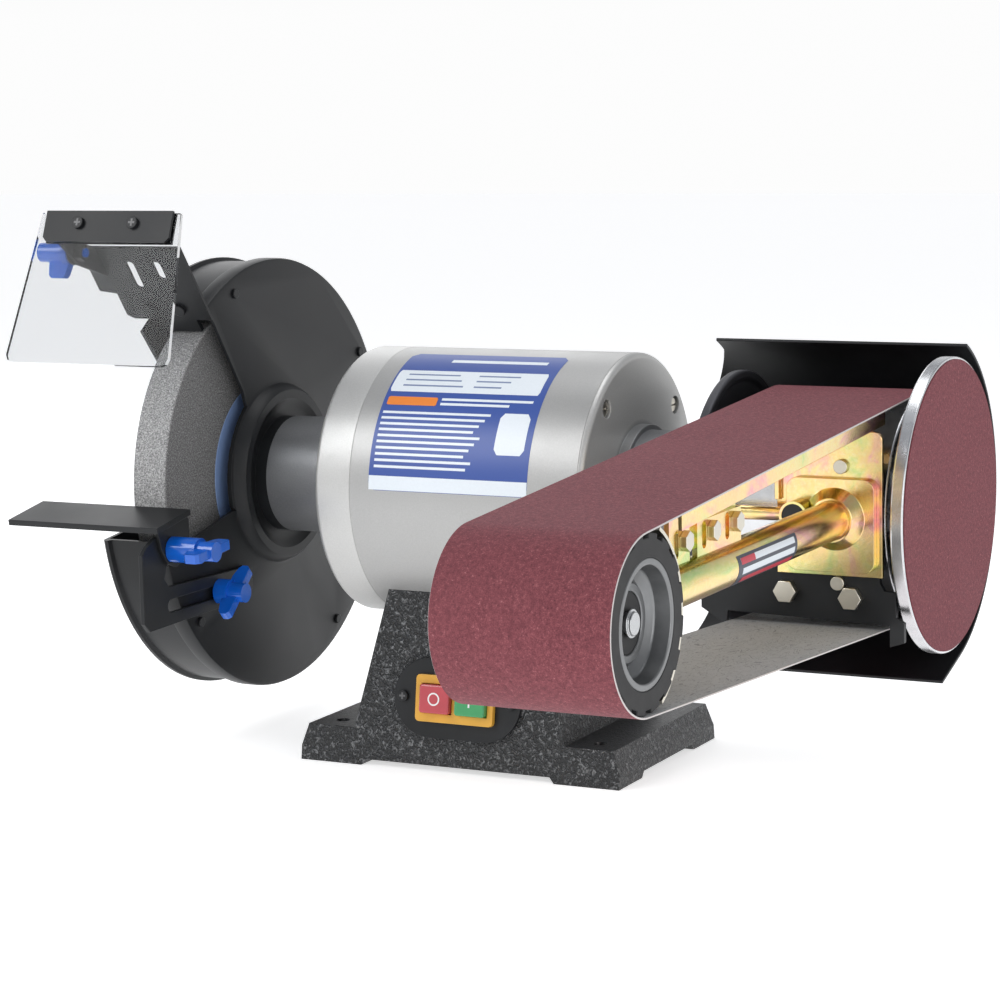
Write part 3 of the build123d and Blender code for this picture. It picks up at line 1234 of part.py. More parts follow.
def main():
    """Build and write every node."""
    os.makedirs("parts", exist_ok=True)
    nodes = {
        "base_casting": base_casting() - switch_screw_cutters(SWITCH_SCREW_HOLE),
        "base_cover": base_cover(),
        "cable_gland": cable_gland(),
        "capacitor": capacitor(),
        "motor_shell": motor_shell(),
        "left_end_bell": left_end_bell(),
        "right_end_bell": right_end_bell(),
        "stator_core": stator_core(),
        "stator_windings": stator_windings(),
        "through_bolts": through_bolts(),
        "switch_plate": switch_plate(),
        "switch_bezel": switch_bezel(),
        "switch_screws": switch_screws(),
        "stop_button": button(-BUTTON_PITCH / 2, BUTTON_PROUD),
        "start_button": button(BUTTON_PITCH / 2, BUTTON_PROUD),
        "ball_bearings": bearings(),
        "spindle_shaft": spindle_shaft(),
        "rotor": rotor(),
        "grinding_wheel": grinding_wheel(),
        "wheel_blotters": wheel_blotters(),
        "wheel_flanges": wheel_flanges(),
        "wheel_nut": wheel_nut(),
        "drive_wheel": drive_wheel(),
        "disc_plate": disc_plate(),
        "abrasive_disc": abrasive_disc(),
        "guard_body": guard_body(),
        "guard_cover": guard_cover(),
        "guard_screws": guard_screws(),
        "shield_bracket": shield_bracket(),
        "shield_panel": shield_panel(),
        "shield_strip": shield_strip(),
        "shield_hanger": shield_hanger(),
        "shield_screws": shield_screws(),
        "shield_knob": shield_knob(),
        "rest_arm": rest_arm(),
        "rest_slide_knob": rest_slide_knob(),
        "rest_table": rest_table(),
        "rest_tilt_knob": rest_tilt_knob(),
        "mount_hub": mount_hub(),
        "arm_clamp": arm_clamp(),
        "gusset_bracket": gusset_bracket(),
        "frame_plate": frame_plate(),
        "frame_bolts": frame_bolts(),
        "tube_flange": tube_flange(),
        "arm_tube": arm_tube(),
        "platen": platen(),
        "platen_bracket": platen_bracket(),
        "platen_bolts": platen_bolts(),
        "hood": hood(),
        "sanding_belt": sanding_belt(),
        "tension_lever": tension_lever(),
        "lever_plug": lever_plug(),
        "lever_grip": lever_grip(),
        "carriage_rod": carriage_rod(),
        "idler_fender": idler_fender(),
        "idler_axle": idler_axle(),
        "idler_hub": idler_hub(),
        "idler_tyre": idler_tyre(),
        "idler_bearings": idler_bearings(),
    }
    for name, part in nodes.items():
        save(name, part)


main()
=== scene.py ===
"""Looks of the bench grinder with belt and disc attachment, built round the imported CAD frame. Metres."""

import json
import math

import bmesh
import bpy
from mathutils import Matrix, Vector


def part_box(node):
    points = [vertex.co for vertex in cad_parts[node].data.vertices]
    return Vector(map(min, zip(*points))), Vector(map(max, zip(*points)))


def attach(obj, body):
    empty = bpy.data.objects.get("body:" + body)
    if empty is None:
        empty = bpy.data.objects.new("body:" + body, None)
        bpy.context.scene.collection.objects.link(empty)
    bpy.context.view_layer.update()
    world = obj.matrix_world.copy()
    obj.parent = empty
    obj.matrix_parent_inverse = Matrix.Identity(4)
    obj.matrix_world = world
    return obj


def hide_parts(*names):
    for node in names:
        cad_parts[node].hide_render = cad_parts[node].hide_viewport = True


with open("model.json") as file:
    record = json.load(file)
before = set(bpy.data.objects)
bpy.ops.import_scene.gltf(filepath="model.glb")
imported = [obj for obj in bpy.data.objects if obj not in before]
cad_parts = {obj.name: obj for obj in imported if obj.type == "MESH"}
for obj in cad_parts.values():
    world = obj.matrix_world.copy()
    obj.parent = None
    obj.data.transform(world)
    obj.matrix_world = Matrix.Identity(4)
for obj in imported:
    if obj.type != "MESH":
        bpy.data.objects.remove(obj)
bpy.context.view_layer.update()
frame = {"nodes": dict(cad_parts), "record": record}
BODY_OF = {node: body for body, nodes in frame["record"]["behaviour"]["bodies"].items() for node in nodes}
SLOT_OF = {part["node"]: part["material_slot"] for part in frame["record"]["subparts"]}
JOINTS = {joint["name"]: joint for joint in frame["record"]["behaviour"]["joints"]}
SPINDLE_Z = JOINTS["spindle_spin"]["pos_m"][2]
IDLER_Y = JOINTS["idler_spin"]["pos_m"][1]
MM = 0.001
SHIELD_TILT = 21.3  # degrees that the eye shield leans back at rest


# ---- material tools ------------------------------------------------------------------------------------
class Paint:
    """A material with short calls for the nodes it is made from."""

    def __init__(self, name, color, roughness, metallic=0.0):
        self.material = bpy.data.materials.new(name)
        self.material.use_nodes = True
        self.tree = self.material.node_tree
        self.shader = self.tree.nodes["Principled BSDF"]
        self.shader.inputs["Base Color"].default_value = (*color, 1)
        self.shader.inputs["Roughness"].default_value = roughness
        self.shader.inputs["Metallic"].default_value = metallic
        self.coords = self.tree.nodes.new("ShaderNodeTexCoord").outputs["Object"]
        self.normal = None

    def link(self, value, socket):
        if isinstance(value, bpy.types.NodeSocket):
            self.tree.links.new(value, socket)
        elif isinstance(value, tuple) and len(value) == 3 and socket.type == "RGBA":
            socket.default_value = (*value, 1)
        else:
            socket.default_value = value

    def math(self, operation, a, b=0.0, c=0.0):
        node = self.tree.nodes.new("ShaderNodeMath")
        node.operation = operation
        for value, socket in zip((a, b, c), node.inputs):
            self.link(value, socket)
        return node.outputs[0]

    def scaled(self, factors):
        node = self.tree.nodes.new("ShaderNodeVectorMath")
        node.operation = "MULTIPLY"
        self.link(self.coords, node.inputs[0])
        self.link(factors, node.inputs[1])
        return node.outputs[0]

    def noise(self, size, detail=3.0, rough=0.5, coords=None, distortion=0.0):
        """Noise whose grains are about size metres wide."""
        node = self.tree.nodes.new("ShaderNodeTexNoise")
        self.link(coords or self.coords, node.inputs["Vector"])
        node.inputs["Scale"].default_value = 1.0 / size
        node.inputs["Detail"].default_value = detail
        node.inputs["Roughness"].default_value = rough
        node.inputs["Distortion"].default_value = distortion
        return node.outputs[0]

    def cells(self, size, feature="F1", coords=None):
        node = self.tree.nodes.new("ShaderNodeTexVoronoi")
        node.feature = feature
        self.link(coords or self.coords, node.inputs["Vector"])
        node.inputs["Scale"].default_value = 1.0 / size
        return node.outputs["Distance"]

    def ramp(self, factor, *stops):
        node = self.tree.nodes.new("ShaderNodeValToRGB")
        elements = node.color_ramp.elements
        while len(elements) < len(stops):
            elements.new(0.5)
        for element, (place, color) in zip(elements, stops):
            element.position = place
            shade = color if isinstance(color, tuple) else (color,) * 3
            element.color = (*shade, 1)
        self.link(factor, node.inputs[0])
        return node.outputs[0]

    def mix(self, factor, a, b):
        node = self.tree.nodes.new("ShaderNodeMix")
        node.data_type = "RGBA"
        self.link(factor, node.inputs[0])
        self.link(a, node.inputs[6])
        self.link(b, node.inputs[7])
        return node.outputs[2]

    def radius(self, y, z):
        """Distance from an axis along X."""
        parts = self.tree.nodes.new("ShaderNodeSeparateXYZ")
        self.link(self.coords, parts.inputs[0])
        dy = self.math("SUBTRACT", parts.outputs[1], y)
        dz = self.math("SUBTRACT", parts.outputs[2], z)
        squares = self.math("ADD", self.math("MULTIPLY", dy, dy), self.math("MULTIPLY", dz, dz))
        return self.math("SQRT", squares)

    def axis(self, index):
        parts = self.tree.nodes.new("ShaderNodeSeparateXYZ")
        self.link(self.coords, parts.inputs[0])
        return parts.outputs[index]

    def facing(self, index):
        """One part of the surface's normal, fixed to the piece."""
        info = self.tree.nodes.new("ShaderNodeTexCoord")
        parts = self.tree.nodes.new("ShaderNodeSeparateXYZ")
        self.link(info.outputs["Normal"], parts.inputs[0])
        return parts.outputs[index]

    def color(self, value):
        self.link(value, self.shader.inputs["Base Color"])
        return self

    def rough(self, factor, low, high):
        span = self.math("MULTIPLY_ADD", factor, high - low, low)
        self.link(span, self.shader.inputs["Roughness"])
        return self

    def bump(self, height, depth, strength=1.0):
        """Bump whose height is depth metres."""
        node = self.tree.nodes.new("ShaderNodeBump")
        node.inputs["Strength"].default_value = strength
        node.inputs["Distance"].default_value = depth
        self.link(height, node.inputs["Height"])
        if self.normal is not None:
            self.link(self.normal, node.inputs["Normal"])
        self.normal = node.outputs[0]
        self.link(self.normal, self.shader.inputs["Normal"])
        return self

    def set(self, **values):
        for name, value in values.items():
            self.shader.inputs[name.replace("_", " ")].default_value = value
        return self


def wrinkle_enamel():
    """Coarse wrinkled black enamel with painted shade in the wrinkle troughs and painted highlights on the ridges;
    where the casting faces up it takes a flat dark colour without them, and its wrinkle is smoother.
    """
    p = Paint("black_enamel", (0.05, 0.052, 0.055), 0.5)
    wrinkle = p.noise(2.6 * MM, 2.0, 0.5, distortion=1.4)
    ridge = p.ramp(wrinkle, (0.36, 0.0), (0.64, 1.0))
    # Painted shade and highlight: darkest in the wrinkle troughs, mid-grey where the ridges stand up, from the same
    # noise as the bump.
    tone = p.ramp(wrinkle, (0.38, (0.009, 0.010, 0.011)), (0.54, (0.036, 0.038, 0.041)), (0.68, (0.17, 0.175, 0.18)))
    up = p.ramp(p.facing(2), (0.80, 0.0), (0.93, 1.0))
    # Faces that point up take the flat dark colour, without the painted ridge highlights.
    p.color(p.mix(up, tone, (0.022, 0.023, 0.025)))
    p.rough(wrinkle, 0.26, 0.55)
    p.bump(p.math("MULTIPLY", ridge, p.math("SUBTRACT", 1.0, p.math("MULTIPLY", up, 0.85))), 1.3 * MM, 1.0)
    return p.set(Specular_IOR_Level=0.6)


def powder_coat(name="black_paint", color=(0.009, 0.0098, 0.011)):
    p = Paint(name, color, 0.42)
    fine = p.noise(0.8 * MM, 2.0)
    wide = p.noise(40 * MM, 4.0)
    light = tuple(c * 1.7 for c in color)
    p.color(p.mix(p.ramp(wide, (0.35, 0.0), (0.7, 1.0)), color, light))
    p.rough(wide, 0.34, 0.52)
    p.set(Specular_IOR_Level=0.32)
    return p.bump(fine, 0.06 * MM, 0.6)


def silver_enamel(name="silver_paint", base=(0.44, 0.44, 0.435)):
    p = Paint(name, base, 0.36, 0.55)
    fine = p.noise(0.9 * MM, 3.0, 0.65)
    wide = p.noise(30 * MM, 4.0)
    low = tuple(c * 0.84 for c in base)
    high = tuple(min(1.0, c * 1.12) for c in base)
    p.color(p.mix(fine, low, high))
    p.rough(wide, 0.32, 0.46)
    return p.bump(fine, 0.10 * MM, 0.7)


def bell_enamel():
    """Silver enamel on the end bells, with painted shade on the necks: the same silver darkened to a gunmetal grey."""
    p = silver_enamel("cast_bell")
    radius = p.radius(0.0, SPINDLE_Z)
    fine = p.noise(0.9 * MM, 3.0, 0.65)
    silver = p.mix(fine, (0.50, 0.50, 0.49), (0.66, 0.66, 0.65))
    # Painted shade: the necks are the same silver paint, made darker where they sit in shade.
    neck_painted_shade = p.mix(fine, (0.20, 0.205, 0.215), (0.31, 0.315, 0.325))
    # place masks the painted shade: 0 within about 42 mm of the axis, on the necks, and 1 beyond.
    place = p.ramp(p.math("MULTIPLY", radius, 10.0), (0.42, 0.0), (0.47, 1.0))
    return p.color(p.mix(place, neck_painted_shade, silver))


def turned_metal(name, color, y, z, rough=(0.18, 0.34), pitch=0.9):
    """Bright metal with fine rings about an axis along X."""
    p = Paint(name, color, 0.25, 1.0)
    radius = p.radius(y, z)
    rings = p.math("SINE", p.math("MULTIPLY", radius, 2 * math.pi / (pitch * MM)))
    stain = p.noise(14 * MM, 5.0)
    low = tuple(c * 0.78 for c in color)
    p.color(p.mix(p.ramp(stain, (0.3, 0.0), (0.75, 1.0)), low, color))
    p.rough(stain, *rough)
    p.bump(p.math("MULTIPLY", rings, 0.5), 0.03 * MM, 0.6)
    return p.bump(p.noise(0.5 * MM, 2.0), 0.02 * MM, 0.5)


def plain_metal(name, color, rough=(0.22, 0.42)):
    p = Paint(name, color, 0.3, 1.0)
    streak = p.noise(1.2 * MM, 3.0, 0.6, p.scaled((1.0, 0.2, 1.0)))
    wide = p.noise(9 * MM, 4.0)
    low = tuple(c * 0.8 for c in color)
    p.color(p.mix(wide, low, color))
    p.rough(wide, *rough)
    return p.bump(streak, 0.02 * MM, 0.5)


def yellow_zinc():
    """Yellow zinc passivate: gold with drifts of pink and green."""
    p = Paint("yellow_zinc", (0.8, 0.66, 0.38), 0.24, 1.0)
    drift = p.noise(26 * MM, 3.0, 0.55, p.scaled((1.0, 0.45, 1.0)), 0.9)
    tint = p.ramp(
        drift, (0.26, (0.50, 0.66, 0.24)), (0.42, (0.86, 0.70, 0.28)), (0.54, (0.92, 0.64, 0.30)),
        (0.66, (0.86, 0.42, 0.42)), (0.80, (0.60, 0.62, 0.42)),
    )
    spots = p.noise(2.2 * MM, 4.0, 0.7)
    p.color(p.mix(p.ramp(spots, (0.45, 0.0), (0.8, 0.35)), tint, (0.95, 0.86, 0.66)))
    p.rough(p.noise(7 * MM, 4.0), 0.11, 0.27)
    return p.bump(spots, 0.03 * MM, 0.6)


def abrasive(name="red_abrasive", dark=(0.075, 0.013, 0.02), light=(0.27, 0.07, 0.083)):
    """Red-brown grain on cloth."""
    p = Paint(name, light, 0.8)
    grain = p.noise(0.75 * MM, 3.0, 0.75)
    coarse = p.noise(2.2 * MM, 2.0, 0.6)
    both = p.math("MULTIPLY_ADD", coarse, 0.35, p.math("MULTIPLY", grain, 0.75))
    tone = p.ramp(both, (0.36, dark), (0.52, (0.165, 0.032, 0.045)), (0.66, light), (0.78, (0.52, 0.24, 0.25)))
    drift = p.ramp(p.noise(60 * MM, 3.0), (0.35, 0.0), (0.7, 0.16))
    p.color(p.mix(drift, tone, (0.24, 0.07, 0.085)))
    p.rough(grain, 0.6, 0.95)
    return p.bump(grain, 0.35 * MM, 0.7)


def cloth_back():
    """Grey cloth inside the belt, with a faint swirl."""
    p = Paint("belt_cloth", (0.25, 0.25, 0.25), 0.9)
    swirl = p.noise(9 * MM, 2.0, 0.4, p.scaled((1.0, 0.35, 1.0)), 2.5)
    bands = p.math("FRACT", p.math("MULTIPLY", swirl, 5.0))
    lines = p.ramp(bands, (0.0, 0.0), (0.05, 1.0), (0.12, 1.0), (0.18, 0.0))
    weave = p.noise(0.9 * MM, 2.0)
    base = p.mix(weave, (0.34, 0.345, 0.35), (0.47, 0.475, 0.48))
    p.color(p.mix(p.math("MULTIPLY", lines, 0.6), base, (0.12, 0.12, 0.125)))
    return p.bump(weave, 0.12 * MM, 0.5)


def grey_stone():
    """Vitrified grey wheel: open grain, lighter on the rim."""
    p = Paint("grey_stone", (0.3, 0.3, 0.29), 0.9)
    grain = p.noise(0.95 * MM, 3.0, 0.8)
    pores = p.cells(1.5 * MM)
    radius = p.radius(0.0, SPINDLE_Z)
    rim = p.ramp(p.math("MULTIPLY", radius, 4.0), (0.493, 0.0), (0.499, 1.0))
    face = p.ramp(grain, (0.32, 0.045), (0.5, 0.17), (0.68, 0.40))
    bright = p.ramp(grain, (0.30, 0.09), (0.5, 0.34), (0.68, 0.75))
    p.color(p.mix(rim, face, bright))
    p.bump(grain, 0.5 * MM, 0.8)
    return p.bump(pores, 0.3 * MM, 0.5)


def plastic(name, color, rough=(0.22, 0.38), grain=0.6, **extra):
    p = Paint(name, color, 0.3)
    wide = p.noise(12 * MM, 3.0)
    fine = p.noise(grain * MM, 2.0)
    low = tuple(c * 0.72 for c in color)
    p.color(p.mix(wide, low, color))
    p.rough(wide, *rough)
    p.bump(fine, 0.03 * MM, 0.5)
    return p.set(**extra) if extra else p


def clear_panel():
    """Clear sheet with fine scratches."""
    p = Paint("clear_panel", (0.86, 0.87, 0.88), 0.01)
    scratch = p.noise(0.7 * MM, 4.0, 0.7, p.scaled((0.25, 1.0, 1.0)))
    p.color(p.mix(p.ramp(scratch, (0.45, 0.0), (0.75, 1.0)), (0.74, 0.75, 0.76), (0.79, 0.80, 0.81)))
    p.rough(scratch, 0.0, 0.02)
    p.bump(scratch, 0.001 * MM, 0.2)
    return p.set(Transmission_Weight=1.0, IOR=1.18)


def flat_print(name, color):
    """Printed film."""
    p = Paint(name, color, 0.35)
    fine = p.noise(1.5 * MM, 2.0)
    p.color(p.mix(fine, tuple(c * 0.93 for c in color), color))
    p.rough(fine, 0.26, 0.4)
    return p.bump(fine, 0.01 * MM, 0.4)


def blotter():
    """Paper disc: light blue above a level line about 25 mm under the axis, navy below it."""
    p = flat_print("blotter", (0.22, 0.33, 0.60))
    height = p.math("MULTIPLY_ADD", p.axis(2), 10.0, 0.5 - SPINDLE_Z * 10.0)
    fibre = p.noise(0.6 * MM, 3.0)
    light = p.mix(fibre, (0.20, 0.31, 0.58), (0.27, 0.39, 0.66))
    return p.color(p.mix(p.ramp(height, (0.20, 1.0), (0.28, 0.0)), light, (0.035, 0.055, 0.20)))


PAINTS = {
    "black_enamel": wrinkle_enamel(),
    "black_paint": powder_coat(),
    "silver_paint": silver_enamel(),
    "cast_bell": bell_enamel(),
    "turned_aluminium": turned_metal("turned_aluminium", (0.80, 0.81, 0.83), 0.0, SPINDLE_Z),
    "idler_aluminium": turned_metal("idler_aluminium", (0.27, 0.275, 0.28), IDLER_Y, SPINDLE_Z, (0.3, 0.5), 2.2),
    "yellow_zinc": yellow_zinc(),
    "bright_zinc": plain_metal("bright_zinc", (0.78, 0.74, 0.64)),
    "ground_steel": plain_metal("ground_steel", (0.60, 0.61, 0.62), (0.2, 0.36)),
    "lamination": plain_metal("lamination", (0.20, 0.20, 0.21), (0.5, 0.7)),
    "copper": plain_metal("copper", (0.80, 0.42, 0.26), (0.3, 0.5)),
    "iron_hub": plain_metal("iron_hub", (0.10, 0.10, 0.11), (0.4, 0.6)),
    "grey_stone": grey_stone(),
    "blotter": blotter(),
    "red_abrasive": abrasive(),
    "belt_cloth": cloth_back(),
    "cut_edge": flat_print("cut_edge", (0.62, 0.58, 0.57)),
    "clear_panel": clear_panel(),
    "blue_knob": plastic("blue_knob", (0.004, 0.125, 0.64), (0.12, 0.24), Coat_Weight=0.4),
    "black_plastic": plastic("black_plastic", (0.018, 0.018, 0.02), (0.35, 0.5)),
    "amber_plastic": plastic("amber_plastic", (0.80, 0.42, 0.05), (0.25, 0.4)),
    "red_plastic": plastic("red_plastic", (0.55, 0.05, 0.07), (0.15, 0.25), Coat_Weight=0.6),
    "green_plastic": plastic("green_plastic", (0.04, 0.36, 0.12), (0.15, 0.25), Coat_Weight=0.6),
    "black_rubber": plastic("black_rubber", (0.022, 0.022, 0.023), (0.55, 0.75), 1.2),
    "can_white": plastic("can_white", (0.75, 0.75, 0.73), (0.4, 0.5)),
    "mark_white": flat_print("mark_white", (0.85, 0.85, 0.85)),
    # Painted shade of the cross recesses in the screw heads.
    "recess_painted_shade": plastic("recess_painted_shade", (0.12, 0.12, 0.125), (0.3, 0.45)),
    "label_blue": flat_print("label_blue", (0.045, 0.095, 0.36)),
    "label_white": flat_print("label_white", (0.80, 0.86, 0.92)),
    "label_orange": flat_print("label_orange", (0.85, 0.25, 0.04)),
    "label_ink": flat_print("label_ink", (0.20, 0.26, 0.42)),
    "label_dark": flat_print("label_dark", (0.035, 0.045, 0.075)),
    "label_red": flat_print("label_red", (0.60, 0.03, 0.06)),
}
NODE_PAINT = {
    "idler_hub": "idler_aluminium",
    "shield_strip": "black_paint",
    "shield_screws": "black_paint",
    "switch_screws": "black_paint",
    "guard_screws": "black_paint",
    "idler_bearings": "black_rubber",
}


# ---- piece tools ---------------------------------------------------------------------------------------
def add_object(name, mesh, paints, body):
    """Puts a mesh in the scene as a piece that rides on a body."""
    piece = bpy.data.objects.new(name, mesh)
    bpy.context.scene.collection.objects.link(piece)
    mesh.materials.clear()
    for paint in paints:
        mesh.materials.append(PAINTS[paint].material)
    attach(piece, body)
    return piece


def smooth(mesh, degrees=32):
    mesh.polygons.foreach_set("use_smooth", [True] * len(mesh.polygons))
    mesh.set_sharp_from_angle(angle=math.radians(degrees))


def round_edges(piece, width, segments=2, degrees=32):
    """Bevel modifier that catches light on the piece's edges."""
    bevel = piece.modifiers.new("edges", "BEVEL")
    bevel.width = width
    bevel.segments = segments
    bevel.limit_method = "ANGLE"
    bevel.angle_limit = math.radians(degrees)
    bevel.harden_normals = False
    bevel.use_clamp_overlap = True


def dress(node, width=0.4 * MM, segments=2, paint=None):
    """Copy of a CAD node with its flats merged and its edges rounded, in the same place."""
    source = frame["nodes"][node]
    mesh = source.data.copy()
    mesh.name = node + "_look"
    work = bmesh.new()
    work.from_mesh(mesh)
    bmesh.ops.remove_doubles(work, verts=work.verts, dist=1e-6)
    bmesh.ops.dissolve_limit(work, angle_limit=math.radians(0.6), verts=work.verts, edges=work.edges)
    for edge in work.edges:
        edge.smooth = True
    work.to_mesh(mesh)
    work.free()
    if "custom_normal" in mesh.attributes:
        mesh.attributes.remove(mesh.attributes["custom_normal"])
    smooth(mesh)
    name = paint or NODE_PAINT.get(node, SLOT_OF[node])
    piece = add_object(node + "_look", mesh, [name], BODY_OF[node])
    if width:
        round_edges(piece, width, segments)
    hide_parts(node)
    return piece


def repaint(node, paint=None):
    """Better material on a CAD node that is shown as it is."""
    mesh = frame["nodes"][node].data
    material = PAINTS[paint or NODE_PAINT.get(node, SLOT_OF[node])].material
    for index in range(len(mesh.materials)):
        mesh.materials[index] = material
    if not mesh.materials:
        mesh.materials.append(material)


def mesh_from(name, points, faces, indices=None):
    mesh = bpy.data.meshes.new(name)
    mesh.from_pydata([tuple(point) for point in points], [], faces)
    if indices:
        mesh.polygons.foreach_set("material_index", indices)
    mesh.update()
    return mesh


# ---- belt ----------------------------------------------------------------------------------------------
def loop_line(drive, idler, steps=40):
    """(Y, Z) points of a closed loop round the drive wheel and the idler."""
    wrap = math.asin((drive - idler) / -IDLER_Y)
    points = []
    for step in range(steps + 1):
        angle = -wrap + (math.pi + 2 * wrap) * step / steps
        points.append((drive * math.sin(angle), SPINDLE_Z + drive * math.cos(angle)))
    straight = 24
    start = math.pi + wrap
    front = []
    for step in range(steps + 1):
        angle = start + (math.pi - 2 * wrap) * step / steps
        front.append((IDLER_Y + idler * math.sin(angle), SPINDLE_Z + idler * math.cos(angle)))
    for step in range(1, straight):
        share = step / straight
        points.append(tuple(a + (b - a) * share for a, b in zip(points[steps], front[0])))
    points += front
    for step in range(1, straight):
        share = step / straight
        points.append(tuple(a + (b - a) * share for a, b in zip(front[-1], points[0])))
    return points


def belt():
    """Sanding belt: abrasive outside, grey cloth inside and a pale cut edge."""
    low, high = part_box("sanding_belt")
    thick = 1.0 * MM
    drive = high.y - thick
    idler = IDLER_Y - low.y - thick
    inner = loop_line(drive, idler)
    outer = loop_line(drive + thick, idler + thick)
    chamfer = 0.25 * MM
    left, right = low.x, high.x
    profile = [(left + chamfer, 1.0), (right - chamfer, 1.0), (right, 0.72), (right, 0.12), (right - chamfer, 0.0)]
    profile += [(left + chamfer, 0.0), (left, 0.12), (left, 0.72)]
    kinds = [0, 2, 2, 2, 1, 2, 2, 2]
    points, faces, indices = [], [], []
    for near, far in zip(inner, outer):
        for x, share in profile:
            points.append((x, near[0] + (far[0] - near[0]) * share, near[1] + (far[1] - near[1]) * share))
    count, ring = len(inner), len(profile)
    for i in range(count):
        j = (i + 1) % count
        for k in range(ring):
            m = (k + 1) % ring
            faces.append((i * ring + k, j * ring + k, j * ring + m, i * ring + m))
            indices.append(kinds[k])
    mesh = mesh_from("sanding_belt_look", points, faces, indices)
    work = bmesh.new()
    work.from_mesh(mesh)
    bmesh.ops.recalc_face_normals(work, faces=work.faces)
    work.to_mesh(mesh)
    work.free()
    smooth(mesh, 30)
    paints = ["red_abrasive", "belt_cloth", "cut_edge"]
    piece = add_object("sanding_belt_look", mesh, paints, "arm")
    for index, paint in enumerate(paints):
        mesh.materials[index] = PAINTS[paint].material
    mesh.polygons.foreach_set("material_index", indices)
    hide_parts("sanding_belt")


# ---- labels --------------------------------------------------------------------------------------------
def wrapped(name, axis, centre, radius, along, turn, paint, body, corner=0.0, steps=16):
    """Thin film wrapped on a round surface. along is (start, end) on the axis, turn is (start, end) in degrees.

    On an axis along X the angle runs from straight up towards +Y; on one along Y it runs from up towards +X."""
    thick = 0.12 * MM
    arc = radius * math.radians(abs(turn[1] - turn[0]))
    rows, columns = steps, 10
    points, faces = [], []
    for layer in (thick, 0.0):
        for row in range(rows + 1):
            share = row / rows
            angle = math.radians(turn[0] + (turn[1] - turn[0]) * share)
            edge = min(share, 1 - share) * arc
            inset = 0.0
            if corner and edge < corner:
                inset = corner - math.sqrt(max(0.0, corner**2 - (corner - edge) ** 2))
            for column in range(columns + 1):
                place = along[0] + inset + (along[1] - along[0] - 2 * inset) * column / columns
                across = (radius + layer) * math.sin(angle)
                up = (radius + layer) * math.cos(angle)
                if axis == "X":
                    points.append((place, centre[0] + across, centre[1] + up))
                else:
                    points.append((centre[0] + across, place, centre[1] + up))
    width = columns + 1
    size = (rows + 1) * width
    for row in range(rows):
        for column in range(columns):
            a = row * width + column
            quad = (a, a + 1, a + width + 1, a + width)
            faces.append(quad)
            faces.append(tuple(i + size for i in reversed(quad)))
    rim = [c for c in range(columns)]
    rim += [columns + r * width for r in range(rows)]
    rim += [rows * width + c for c in range(columns, 0, -1)]
    rim += [r * width for r in range(rows, 0, -1)]
    for a, b in zip(rim, rim[1:] + rim[:1]):
        faces.append((a, a + size, b + size, b))
    mesh = mesh_from(name, points, faces)
    work = bmesh.new()
    work.from_mesh(mesh)
    bmesh.ops.recalc_face_normals(work, faces=work.faces)
    work.to_mesh(mesh)
    work.free()
    smooth(mesh, 40)
    return add_object(name, mesh, [paint], body)


def motor_label():
    """Blue rating label with plain panels and bars in place of any words."""
    axis, top = (0.0, SPINDLE_Z), 90.0 * MM

    def patch(name, x0, x1, a0, a1, paint, level, corner=0.0):
        steps = 24 if level == 0 else 8
        height = top + level * 0.12 * MM
        wrapped(name, "X", axis, height, (x0 * MM, x1 * MM), (a0, a1), paint, "stand", corner * MM, steps)

    patch("label_field", -53.5, 61.5, -13.0, -86.4, "label_blue", 0, 4.0)
    patch("label_foot", -53.3, 61.3, -80.3, -86.2, "label_white", 1)
    patch("label_panel", -52.0, 57.0, -28.5, -41.8, "label_white", 1, 1.0)
    patch("label_flag", -50.5, -14.0, -44.6, -48.9, "label_orange", 1, 1.0)
    patch("label_side", 35.5, 57.0, -51.3, -69.7, "label_white", 1, 2.5)
    for row in range(3):
        angle = -31.0 - 3.4 * row
        patch(f"label_line_a{row}", -44.0, -6.0 + 3 * row, angle, angle - 0.8, "label_ink", 2)
        patch(f"label_line_b{row}", 8.0, 38.0 - 5 * row, angle, angle - 0.8, "label_ink", 2)
    for row in range(10):
        angle = -52.0 - 2.65 * row
        patch(f"label_bar_{row}", -51.0 + 0.1 * row, 28.0 - 2.2 * (row % 4) - row, angle, angle - 1.1, "label_white", 1)
    for row in range(2):
        angle = -44.8 - 2.4 * row
        patch(f"label_head_{row}", -11.0, 55.0 - 16.0 * row, angle, angle - 1.2, "label_white", 1)
    patch("label_title", -20.0, 50.0, -19.0, -21.4, "label_white", 1)


def tube_label():
    """Dark label on the arm tube, with plain bars."""
    low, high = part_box("arm_tube")
    centre = ((low.x + high.x) / 2, (low.z + high.z) / 2)
    radius = (high.x - low.x) / 2

    def patch(name, y0, y1, a0, a1, paint, level):
        wrapped(
            name, "Y", centre, radius + level * 0.12 * MM, (y0 * MM, y1 * MM), (a0, a1), paint, "arm",
            0.0, 12,
        )

    y0, y1, a0, a1 = -268.0, -180.0, 57.0, 150.0
    patch("tube_label", y0, y1, a0, a1, "label_dark", 0)
    step = (a1 - a0) / 6.4
    for row, paint in enumerate(("label_white", "label_white", "label_red")):
        start = a0 + step * (0.6 + 1.9 * row)
        patch(f"tube_label_bar_{row}", y0 + 4 + 2 * row, y1 - 4, start, start + step * 1.2, paint, 1)
    patch("tube_label_flag", y0 + 4, y0 + 24, a0 + step * 0.6, a0 + step * 1.8, "label_red", 2)



# ---- switch, screws and other small pieces -----------------------------------------------------------------
def face_matrix(node):
    """Frame of the sloping switch face: local Z points out of the face."""
    press = JOINTS["stop_press"]["axis"]
    out = -Vector(press).normalized()
    right = Vector((1, 0, 0))
    up = out.cross(right)
    low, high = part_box(node)
    centre = (low + high) / 2
    return Matrix(((right.x, up.x, out.x, centre.x), (right.y, up.y, out.y, centre.y),
                   (right.z, up.z, out.z, centre.z), (0, 0, 0, 1)))


